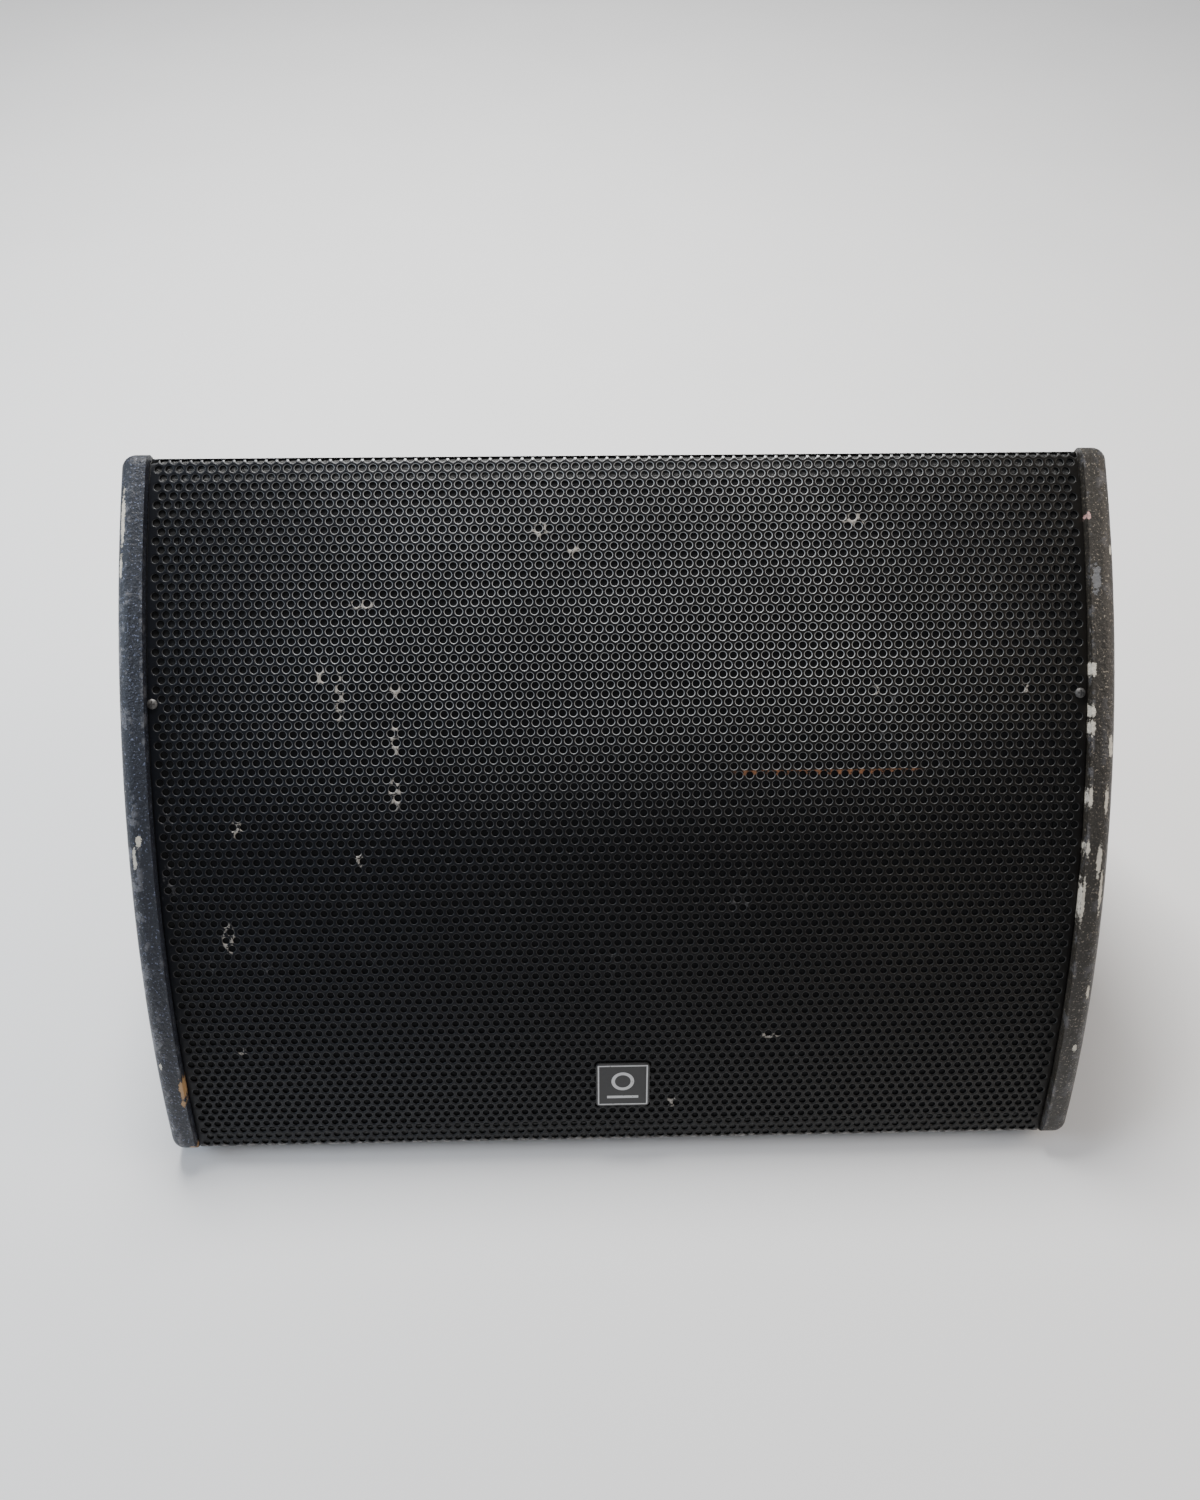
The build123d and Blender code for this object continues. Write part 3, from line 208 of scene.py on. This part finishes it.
def painted_board(name, tint_with_painted_light, edge_wear, chips, texture):
    """Textured black paint, worn through along the edges and chipped where the chips list says.
    Each chip is x, arc, half width, half length, colour."""
    k = Nodes(name)
    x, arc, h = k.position()
    side = k.math("ABSOLUTE", x)
    grain = k.noise(texture, 4, 0.6)
    blotch = k.noise(22, 4, 0.6, offset=3.0)
    fleck = k.noise(420, 3, 0.7, offset=5.0)
    base = k.mix(blotch, tuple(c * 0.65 for c in tint_with_painted_light), tuple(c * 1.5 for c in tint_with_painted_light))
    front = k.ramp(h, -0.001, 0.004)
    inner_line = k.math("MULTIPLY", front, k.band(side, INNER_FACE, 0.0011, 0.0016))
    outer_line = k.math("MULTIPLY", k.band(side, OUTER_FACE - 0.0045, 0.0025, 0.006), k.ramp(h, -0.012, 0.0))
    ragged = k.ramp(k.noise(75, 5, 0.75, offset=9.0), 0.52, 0.60)
    inner_wear = k.math("MULTIPLY", inner_line, 0.45)
    outer_wear = k.math("MULTIPLY", outer_line, edge_wear)
    worn = k.math("MULTIPLY", k.math("MAXIMUM", inner_wear, outer_wear), ragged)
    grey = k.mix(fleck, (0.05, 0.05, 0.055), (0.26, 0.26, 0.28))
    colour = k.mix(worn, base, grey)
    # painted glints: small specks in a much lighter shade of the paint's own hue on the front edge
    painted_glint = k.ramp(k.noise(700, 2, 0.6, offset=6.0), 0.60, 0.68)
    painted_glint = k.math("MULTIPLY", painted_glint, k.ramp(h, -0.004, 0.002))
    colour = k.mix(k.math("MULTIPLY", painted_glint, 0.45), colour, tuple(min(1.0, c * 20) for c in tint_with_painted_light))
    # white specks knocked out of the outer edge
    specks = k.math("MULTIPLY", k.ramp(fleck, 0.66, 0.72), k.ramp(side, OUTER_FACE - 0.009, OUTER_FACE - 0.003))
    specks = k.math("MULTIPLY", specks, k.ramp(h, -0.014, -0.004))
    colour = k.mix(specks, colour, (0.62, 0.60, 0.56))
    wobble = k.math("MULTIPLY", k.math("SUBTRACT", k.noise(330, 5, 0.8, offset=2.0), 0.5), 3.0)
    relief = grain
    for chip_x, chip_arc, half_width, half_length, rgb in chips:
        d = k.ellipse(x, arc, (chip_x, chip_arc), (half_width, half_length))
        m = k.inverse(k.ramp(k.math("ADD", d, wobble), 0.85, 1.0))
        m = k.math("MULTIPLY", m, k.ramp(h, -0.010, -0.006))
        tone = k.mix(fleck, tuple(c * 0.7 for c in rgb), rgb)
        colour = k.mix(m, colour, tone)
        relief = k.math("SUBTRACT", relief, k.math("MULTIPLY", m, 0.8))
    k.put(colour, k.bsdf.inputs["Base Color"])
    k.put(k.math("ADD", 0.36, k.math("MULTIPLY", blotch, 0.25)), k.bsdf.inputs["Roughness"])
    k.bsdf.inputs["Specular IOR Level"].default_value = 0.5
    k.bump(relief, 0.8, 0.0012)
    return k.mat


# chips of each board: x, arc, half width, half length, colour
CREAM = (0.74, 0.69, 0.58)
TAN = (0.50, 0.30, 0.14)
PINK = (0.62, 0.36, 0.33)
SMUDGE = (0.16, 0.16, 0.165)
right_chips = [
    (0.3078, 0.1023, 0.0018, 0.0050, CREAM), (0.3076, 0.0755, 0.0016, 0.0046, CREAM),
    (0.3079, 0.0640, 0.0019, 0.0055, CREAM), (0.3080, 0.0185, 0.0016, 0.0080, CREAM),
    (0.3078, -0.0520, 0.0013, 0.0170, CREAM), (0.3082, -0.0160, 0.0014, 0.0060, CREAM),
    (0.3079, 0.2027, 0.0012, 0.0026, PINK), (0.3108, 0.1600, 0.0030, 0.0110, SMUDGE),
    (0.3215, 0.1794, 0.0013, 0.0036, CREAM), (0.3206, 0.0517, 0.0018, 0.0080, CREAM),
    (0.3190, 0.0165, 0.0014, 0.0110, CREAM), (0.3165, -0.0235, 0.0018, 0.0120, CREAM),
    (0.3195, -0.0470, 0.0013, 0.0150, CREAM), (0.3165, -0.1647, 0.0016, 0.0030, CREAM),
    (0.3195, -0.1200, 0.0012, 0.0050, CREAM), (0.3151, -0.2490, 0.0032, 0.0030, TAN),
]
left_chips = [
    (-0.3205, 0.2050, 0.0016, 0.0200, CREAM), (-0.3215, 0.1750, 0.0012, 0.0080, CREAM),
    (-0.3188, -0.0137, 0.0014, 0.0080, CREAM), (-0.3150, -0.0010, 0.0022, 0.0040, CREAM),
    (-0.3199, -0.1674, 0.0012, 0.0030, CREAM), (-0.3078, -0.1868, 0.0018, 0.0090, TAN),
    (-0.3085, -0.1990, 0.0014, 0.0040, TAN), (-0.3090, -0.2433, 0.0028, 0.0030, TAN),
]
# worn webs of the grille: x, arc, half width, half length
bare_spots = [
    (-0.147, 0.094, 0.0040, 0.0060), (-0.148, 0.062, 0.0030, 0.0150), (-0.149, 0.026, 0.0045, 0.0120),
    (-0.183, 0.088, 0.0035, 0.0200), (-0.195, 0.104, 0.0030, 0.0080), (-0.253, 0.004, 0.0045, 0.0070),
    (-0.264, -0.072, 0.0050, 0.0130), (0.166, 0.0905, 0.0035, 0.0035), (0.265, 0.0906, 0.0035, 0.0035),
    (-0.052, 0.198, 0.0060, 0.0070), (-0.030, 0.183, 0.0050, 0.0050), (0.155, 0.203, 0.0090, 0.0050),
    (0.035, -0.211, 0.0035, 0.0060), (0.201, -0.249, 0.0030, 0.0030), (-0.264, -0.160, 0.0035, 0.0035),
    (-0.174, -0.018, 0.0030, 0.0060), (-0.168, 0.150, 0.0090, 0.0040), (0.103, -0.154, 0.0080, 0.0025),
]


def grille_paint():
    """Black coated steel: dusty, lighter where the paint has worn, with bare webs in places; painted highlights
    on the hole rims, strongest in the upper middle, a painted cool-to-warm light tint from left to right and
    painted shade on the holes' walls.
    """
    k = Nodes("grille_paint")
    x, arc, h = k.position()
    cloud = k.noise(9, 5, 0.6)
    fine = k.noise(300, 3, 0.7, offset=4.0)
    # painted light: the black is given a painted cool tint on the left, fading to a painted warm tint on the
    # right
    cool_to_warm_light = k.ramp(x, -0.28, 0.28)
    tint_with_painted_light = k.mix(cool_to_warm_light, (0.008, 0.010, 0.015), (0.012, 0.010, 0.007))
    base = k.mix(cloud, (0.003, 0.003, 0.004), tint_with_painted_light)
    rub = k.ramp(k.noise(38, 6, 0.8, (1, 0.35, 0.35), 7.0), 0.60, 0.70)
    rub = k.math("MULTIPLY", rub, k.ramp(fine, 0.45, 0.60))
    colour = k.mix(k.math("MULTIPLY", rub, 0.35), base, (0.16, 0.16, 0.165))
    # painted highlight: the hole rims are lightened, most of all in the upper middle where the glare from above
    # falls
    painted_rim_highlight = k.band(h, -0.00024, 0.00012, 0.0001)
    centred = k.inverse(k.ramp(k.math("ABSOLUTE", x), 0.12, 0.32))
    high = k.math("MULTIPLY", k.ramp(arc, -0.02, 0.13), centred)
    painted_glare_zone = k.math("MULTIPLY", high, k.math("ADD", 0.22, k.math("MULTIPLY", cloud, 0.9)))
    painted_rim_highlight = k.math("MULTIPLY", painted_rim_highlight, k.math("ADD", 0.04, painted_glare_zone))
    colour = k.mix(painted_rim_highlight, colour, (0.62, 0.63, 0.63))
    foot = k.inverse(k.ramp(arc, -ARC / 2 + 0.0035, -ARC / 2 + 0.0075))
    foot = k.math("MULTIPLY", foot, k.ramp(k.noise(150, 5, 0.75, offset=1.0), 0.42, 0.58))
    colour = k.mix(foot, colour, k.mix(fine, (0.16, 0.15, 0.145), (0.55, 0.53, 0.50)))
    rust = k.math("MULTIPLY", k.band(arc, 0.037, 0.0011, 0.0010), k.ramp(x, 0.070, 0.085))
    rust = k.math("MULTIPLY", rust, k.inverse(k.ramp(x, 0.190, 0.200)))
    colour = k.mix(k.math("MULTIPLY", rust, k.ramp(fine, 0.45, 0.55)), colour, (0.22, 0.10, 0.05))
    for spot_x, spot_arc, half_width, half_length in bare_spots:
        d = k.ellipse(x, arc, (spot_x, spot_arc), (half_width, half_length))
        m = k.math("MULTIPLY", k.inverse(k.ramp(d, 0.7, 1.0)), k.ramp(fine, 0.47, 0.54))
        colour = k.mix(k.math("MULTIPLY", m, 0.8), colour, (0.40, 0.37, 0.33))
    # 1 on the face and on the flanges, which lie deeper than the sheet, and 0 on the holes' walls, which get
    # painted shade
    face = k.math("MAXIMUM", k.ramp(h, -0.0006, -0.00043), k.inverse(k.ramp(h, -0.0030, -0.0016)))
    colour = k.mix(face, (0.002, 0.002, 0.002), colour)
    k.put(colour, k.bsdf.inputs["Base Color"])
    k.put(k.math("ADD", 0.26, k.math("MULTIPLY", cloud, 0.2)), k.bsdf.inputs["Roughness"])
    k.bsdf.inputs["Metallic"].default_value = 0.1
    k.put(k.math("ADD", 0.04, k.math("MULTIPLY", face, 0.20)), k.bsdf.inputs["Specular IOR Level"])
    k.bump(k.noise(900, 2), 0.25, 0.0003)
    return k.mat


def badge_face():
    """A black plate with a light line inside its edge and a plain ring and bar."""
    k = Nodes("badge_face")
    x, arc, _ = k.position()
    v = k.math("SUBTRACT", arc, BADGE_ARC)
    ax, av = k.math("ABSOLUTE", x), k.math("ABSOLUTE", v)
    m = k.math("MAXIMUM", ax, av)
    line = k.band(m, 0.0172, 0.0004, 0.00015)
    r = k.length(x, k.math("SUBTRACT", v, 0.0035))
    ring = k.band(r, 0.0068, 0.0011, 0.0002)
    bar = k.math("MULTIPLY", k.band(v, -0.0105, 0.0010, 0.0002), k.band(x, 0.0, 0.0110, 0.0002))
    mark = k.math("MAXIMUM", line, k.math("MAXIMUM", ring, bar))
    scuff = k.noise(500, 4, 0.7)
    plate = k.mix(scuff, (0.010, 0.010, 0.011), (0.03, 0.03, 0.03))
    mark = k.math("MULTIPLY", mark, k.ramp(scuff, 0.30, 0.40))
    k.put(k.mix(mark, plate, (0.60, 0.60, 0.60)), k.bsdf.inputs["Base Color"])
    k.put(k.math("ADD", 0.25, k.math("MULTIPLY", scuff, 0.3)), k.bsdf.inputs["Roughness"])
    k.bump(scuff, 0.08, 0.0002)
    return k.mat


badge_mid = sum((Vector(p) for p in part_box("badge")), Vector()) / 2 - CENTRE
BADGE_ARC = math.atan2(badge_mid.dot(ALONG), badge_mid.dot(OUT)) * BOW

finishes = {
    "raw_board": ply("raw_board"),
    "black_board": plain("black_board", (0.007, 0.007, 0.007), 0.9, scale=90, spread=0.4, bump=0.4),
    "foam": plain("foam", (0.008, 0.008, 0.009), 0.95, scale=400, spread=0.5, bump=0.6, depth=0.0008),
    "screw_steel": plain("screw_steel", (0.42, 0.42, 0.43), 0.38, 0.9, 300, 0.45),
    "plated_steel": plain("plated_steel", (0.55, 0.55, 0.53), 0.32, 0.95, 80, 0.15),
    "rubber": plain("rubber", (0.022, 0.022, 0.022), 0.8, scale=120, bump=0.3),
    "basket_metal": plain("basket_metal", (0.03, 0.03, 0.032), 0.45, 0.3, 90),
    "cone_paper": plain("cone_paper", (0.03, 0.029, 0.028), 0.85, scale=160, bump=0.5),
    "treated_cloth": plain("treated_cloth", (0.06, 0.05, 0.035), 0.7, scale=500, bump=0.4),
    "black_plastic": plain("black_plastic", (0.03, 0.03, 0.03), 0.5),
    "thin_film": plain("thin_film", (0.55, 0.42, 0.20), 0.35, spread=0.1),
    "copper": plain("copper", (0.60, 0.26, 0.12), 0.3, 0.9, 200, 0.2, 0.4),
    "ferrite": plain("ferrite", (0.045, 0.045, 0.047), 0.6, scale=150),
    "moulded_plastic": plain("moulded_plastic", (0.035, 0.035, 0.036), 0.5, scale=140),
    "pan_steel": plain("pan_steel", (0.028, 0.028, 0.029), 0.4, 0.2, 120, 0.4, 0.3),
    "socket_plastic": plain("socket_plastic", (0.03, 0.06, 0.14), 0.4),
    "circuit_board": plain("circuit_board", (0.04, 0.17, 0.07), 0.45),
    "component_plastic": plain("component_plastic", (0.13, 0.13, 0.16), 0.45),
    "resistor": plain("resistor", (0.66, 0.63, 0.56), 0.75, scale=200),
    "cable": plain("cable", (0.07, 0.02, 0.02), 0.5),
    "grille_steel": grille_paint(),
    "badge_plate": badge_face(),
    "painted_board": painted_board("painted_board", (0.013, 0.013, 0.013), 0.3, [], 520),
}
# lit copies of one black paint: the left board's colour has a painted cool bluish light tint, the right board's
# a painted warm light tint
left_paint_cool_light = painted_board("left_paint_cool_light", (0.013, 0.015, 0.022), 0.75, left_chips, 340)
right_paint_warm_light = painted_board("right_paint_warm_light", (0.022, 0.019, 0.015), 0.3, right_chips, 300)
for row in frame["record"]["subparts"]:
    o = nodes[row["node"]]
    o.data.materials.clear()
    o.data.materials.append(finishes[row["material_slot"]])
nodes["left_end_board"].data.materials[0] = left_paint_cool_light
nodes["grille_screws"].data.materials[0] = plain("worn_screw", (0.16, 0.155, 0.15), 0.5, 0.8, 500, 0.6)
nodes["right_end_board"].data.materials[0] = right_paint_warm_light


# ---------------------------------------------------------------- perforated grille
PITCH, HOLE, BEVEL = 0.007, 0.0025, 0.0004
ROW = PITCH * math.sqrt(3) / 2
BEND = 0.004  # outer radius where the sheet turns into a flange
BEND_STEPS = 10
BOW_STEPS = 160
FLANGE = 0.014
TOE_MARGIN = 0.0050  # from the toe corner to the first hole's edge
APEX_MARGIN = 0.0005  # from the last hole's centre to the apex corner, at least
LAST_HOLE = 0.3012  # the furthest a hole's centre is from the middle
COLUMNS = 45  # to each side of the middle, before the clipping
SIDES = 12  # of a hole, twice its cell's six
SCREW_HEAD = 0.0033
SCREW_ARC = 0.087
SCREW_CLEAR = 0.0045  # from a screw's centre to the nearest hole's centre, at least
SHEETS = 5
MARGIN_STEPS = 22
JOIN = 1e-6  # points this near are one
ACROSS = 60  # points across an unpunched margin
rear_dir = (ALONG * CHORD - Vector((0, DEPTH, 0))).normalized()


def section_path():
    """The sheet's outer face in section, and each point's length from the toe flange's end."""

    def corner(p0, p1, p2, turn_r):
        a, b = (p0 - p1).normalized(), (p2 - p1).normalized()
        half = a.angle(b) / 2
        t = turn_r / math.tan(half)
        c = p1 + (a + b).normalized() * (turn_r / math.sin(half))
        s, e = p1 + a * t - c, p1 + b * t - c
        total = s.angle(e)
        axis = s.cross(e).normalized()
        return t, [
            c + Matrix.Rotation(total * i / BEND_STEPS, 3, axis) @ s for i in range(BEND_STEPS + 1)
        ]

    low, high = -ARC / 2, ARC / 2
    bottom_corner, top_corner = on_bow(0, low), on_bow(0, high)
    _, tan_low = bow_frame(low)
    _, tan_high = bow_frame(high)
    start = bottom_corner + Vector((0, FLANGE, 0))
    end = top_corner - rear_dir * FLANGE
    t0, first = corner(start, bottom_corner, bottom_corner + tan_low * 0.05, BEND)
    t1, last = corner(top_corner - tan_high * 0.05, top_corner, end, BEND)
    pts = [start] + first
    for i in range(1, BOW_STEPS):
        pts.append(on_bow(0, low + t0 + (ARC - t0 - t1) * i / BOW_STEPS))
    pts += last + [end]
    p = np.array([[q.y, q.z] for q in pts])
    d = np.diff(p, axis=0)
    at = np.concatenate([[0], np.cumsum(np.hypot(d[:, 0], d[:, 1]))])
    return p, at


path, path_at = section_path()
mid_point = on_bow(0, 0)
MID = path_at[np.argmin(np.hypot(path[:, 0] - mid_point.y, path[:, 1] - mid_point.z))]


def wrap(x, s, depth):
    """World points from x, s along the sheet from the bow's middle, and depth under its face."""
    at = s + MID
    eps = 0.0004
    y, z = np.interp(at, path_at, path[:, 0]), np.interp(at, path_at, path[:, 1])
    a, b = np.clip(at - eps, 0, path_at[-1]), np.clip(at + eps, 0, path_at[-1])
    ty = np.interp(b, path_at, path[:, 0]) - np.interp(a, path_at, path[:, 0])
    tz = np.interp(b, path_at, path[:, 1]) - np.interp(a, path_at, path[:, 1])
    length = np.hypot(ty, tz)
    ny, nz = -tz / length, ty / length
    return np.stack([x, y - ny * depth, z - nz * depth], axis=-1)


LOW_ROW = -ARC / 2 + TOE_MARGIN + HOLE
rows = []
while LOW_ROW + len(rows) * ROW < ARC / 2 - APEX_MARGIN:
    rows.append(LOW_ROW + len(rows) * ROW)
screw_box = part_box("grille_screws")
screw_spots = [(screw_box[0].x + SCREW_HEAD, SCREW_ARC), (screw_box[1].x - SCREW_HEAD, SCREW_ARC)]
angles = np.radians(np.arange(SIDES) * 360.0 / SIDES)
reach = np.where(np.arange(SIDES) % 2 == 1, PITCH / math.sqrt(3), PITCH / 2)  # to the cell's edge
S_LOW, S_HIGH = LOW_ROW - ROW, rows[-1] + ROW


def clip(poly, axis, limit, keep_below):
    """The part of a flat polygon on one side of a line."""
    out = []
    sign = 1 if keep_below else -1
    for i, p in enumerate(poly):
        q = poly[(i + 1) % len(poly)]
        dp, dq = sign * (limit - p[axis]), sign * (limit - q[axis])
        if dp >= 0:
            out.append(p)
        if (dp > 0 > dq) or (dp < 0 < dq):
            f = dp / (dp - dq)
            out.append((p[0] + (q[0] - p[0]) * f, p[1] + (q[1] - p[1]) * f))
    return out


def strip_mesh(name, row_from, row_to):
    """The sheet's rows row_from to row_to as one mesh, every hole cut and its rim rounded."""
    verts, faces = [], []
    count = 0
    for j in range(row_from, row_to):
        s = LOW_ROW + j * ROW
        shift = 0.0 if j % 2 == 0 else PITCH / 2
        xs = np.arange(-COLUMNS, COLUMNS + 1) * PITCH + shift
        for cx in xs:
            if abs(cx) > EDGE + PITCH:
                continue
            blocked = any(math.hypot(cx - a, s - b) < SCREW_CLEAR for a, b in screw_spots)
            whole = abs(cx) <= LAST_HOLE and 0 <= j < len(rows) and not blocked
            if whole:
                ux, us = np.cos(angles), np.sin(angles)
                ring = [
                    wrap(cx + reach * ux, s + reach * us, 0.0),
                    wrap(cx + (HOLE + BEVEL) * ux, s + (HOLE + BEVEL) * us, 0.0),
                    wrap(cx + HOLE * ux, s + HOLE * us, BEVEL),
                    wrap(cx + HOLE * ux, s + HOLE * us, SHEET),
                ]
                verts.append(np.concatenate(ring))
                for a in range(len(ring) - 1):
                    base = count + a * SIDES
                    for i in range(SIDES):
                        n = (i + 1) % SIDES
                        faces.append((base + i, base + n, base + SIDES + n, base + SIDES + i))
                count += len(ring) * SIDES
            else:
                poly = [(cx + d * math.cos(a), s + d * math.sin(a)) for d, a in zip(reach, angles)]
                poly = clip(poly, 0, EDGE, True)
                poly = clip(poly, 0, -EDGE, False) if poly else poly
                poly = clip(poly, 1, S_HIGH, True) if poly else poly
                poly = clip(poly, 1, S_LOW, False) if poly else poly
                if len(poly) < 3:
                    continue
                p = np.array(poly)
                verts.append(wrap(p[:, 0], p[:, 1], 0.0))
                faces.append(tuple(range(count, count + len(poly))))
                count += len(poly)
    return finish_mesh(name, np.concatenate(verts), faces)


def finish_mesh(name, co, faces):
    """A grille piece from points and faces, with shared points joined and empty faces left out."""
    key = np.round(co / JOIN).astype(np.int64)
    _, first, back = np.unique(key, axis=0, return_index=True, return_inverse=True)
    back = back.reshape(-1)
    mesh = bpy.data.meshes.new(name)
    clean = []
    for f in faces:
        g = []
        for i in f:
            v = int(back[i])
            if not g or g[-1] != v:
                g.append(v)
        if len(g) > 1 and g[0] == g[-1]:
            g.pop()
        if len(set(g)) == len(g) and len(g) > 2:
            clean.append(g)
    mesh.from_pydata([tuple(c) for c in co[first]], [], clean)
    mesh.shade_smooth()
    mesh.materials.append(finishes["grille_steel"])
    o = bpy.data.objects.new(name, mesh)
    bpy.context.scene.collection.objects.link(o)
    return o


def plain_strip(name, s0, s1):
    """The unpunched margin from s0 to s1, with its inner face and its two ends."""
    s = np.linspace(s0, s1, MARGIN_STEPS + 1)
    x = np.linspace(-EDGE, EDGE, ACROSS)
    co, faces = [], []
    for depth in (0.0, SHEET):
        for sv in s:
            co.append(wrap(x, np.full_like(x, sv), depth))
    co = np.concatenate(co)
    w, n = len(x), len(s)
    for d in range(2):
        for j in range(n - 1):
            for i in range(w - 1):
                a = d * n * w + j * w + i
                q = (a, a + 1, a + w + 1, a + w)
                faces.append(q if d == 0 else q[::-1])
    for i in range(w - 1):
        faces.append((i + 1, i, n * w + i, n * w + i + 1))
        a, b = (n - 1) * w + i, n * w + (n - 1) * w + i
        faces.append((a, a + 1, b + 1, b))
    for j in range(n - 1):
        a, b = j * w, n * w + j * w
        faces.append((a, a + w, b + w, b))
        a, b = j * w + w - 1, n * w + j * w + w - 1
        faces.append((b, b + w, a + w, a))
    return finish_mesh(name, co, faces)


cuts = np.linspace(-2, len(rows) + 2, SHEETS + 1).astype(int)
grille_pieces = [strip_mesh("grille_sheet_%d" % i, cuts[i], cuts[i + 1]) for i in range(SHEETS)]
grille_pieces.append(plain_strip("grille_toe_margin", -MID, S_LOW))
grille_pieces.append(plain_strip("grille_apex_margin", S_HIGH, path_at[-1] - MID))
for o in grille_pieces:
    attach(o, "cabinet")
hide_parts("grille")


# ---------------------------------------------------------------- surround and spider, copied as cloth rings
def flexing(node):
    """A copy of a turned cloth ring."""
    o = bpy.data.objects.new(node + "_cloth", nodes[node].data.copy())
    bpy.context.scene.collection.objects.link(o)
    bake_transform(o)
    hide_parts(node)


flexing("woofer_surround")
flexing("woofer_spider")

# ---------------------------------------------------------------- stage, light and camera
FLOOR = 6.0  # half its side
floor_mesh = bpy.data.meshes.new("floor")
floor_corners = [(-FLOOR, -FLOOR, 0), (FLOOR, -FLOOR, 0), (FLOOR, FLOOR, 0), (-FLOOR, FLOOR, 0)]
floor_mesh.from_pydata(floor_corners, [], [(0, 1, 2, 3)])
floor = bpy.data.objects.new("floor", floor_mesh)
bpy.context.scene.collection.objects.link(floor)
floor_mesh.materials.append(plain("floor_finish", (0.90, 0.90, 0.90), 0.7, scale=5, spread=0.02, bump=0.0))

world = bpy.data.worlds.new("studio")
bpy.context.scene.world = world
world.use_nodes = True
background = world.node_tree.nodes["Background"]
background.inputs["Color"].default_value = (0.93, 0.95, 1.0, 1)
background.inputs["Strength"].default_value = 0.34


def area(name, place, size, power, colour, target=(0, 0, 0.2)):
    light = bpy.data.lights.new(name, "AREA")
    light.size = size
    light.energy = power
    light.color = colour
    o = bpy.data.objects.new(name, light)
    bpy.context.scene.collection.objects.link(o)
    o.location = place
    o.rotation_euler = (Vector(target) - Vector(place)).to_track_quat("-Z", "Y").to_euler()


area("key", (-0.3, 1.1, 2.0), 0.7, 78, (1.0, 0.99, 0.97))
area("cool_side", (-1.8, -0.2, 1.1), 0.9, 17, (0.70, 0.83, 1.0))
area("warm_side", (1.8, -0.2, 1.1), 0.9, 15, (1.0, 0.88, 0.76))

cam = bpy.data.cameras.new("camera")
cam.lens = 28.41
cam.sensor_width = 36.0
cam_ob = bpy.data.objects.new("camera", cam)
bpy.context.scene.collection.objects.link(cam_ob)
cam_ob.location = (-0.0301, TOE.y - 0.3082, TOE.z + 0.8599)
PITCH_DOWN, YAW, ROLL = math.radians(51.91), math.radians(1.89), math.radians(0.74)
LEVEL = math.cos(PITCH_DOWN)
look = Vector((math.sin(YAW) * LEVEL, math.cos(YAW) * LEVEL, -math.sin(PITCH_DOWN)))
right = Vector((math.cos(YAW), -math.sin(YAW), 0))
up = right.cross(look)
rolled_right = right * math.cos(ROLL) + up * math.sin(ROLL)
rolled_up = up * math.cos(ROLL) - right * math.sin(ROLL)
cam_ob.rotation_mode = "QUATERNION"
cam_ob.rotation_quaternion = Matrix((rolled_right, rolled_up, -look)).transposed().to_quaternion()
bpy.context.scene.camera = cam_ob
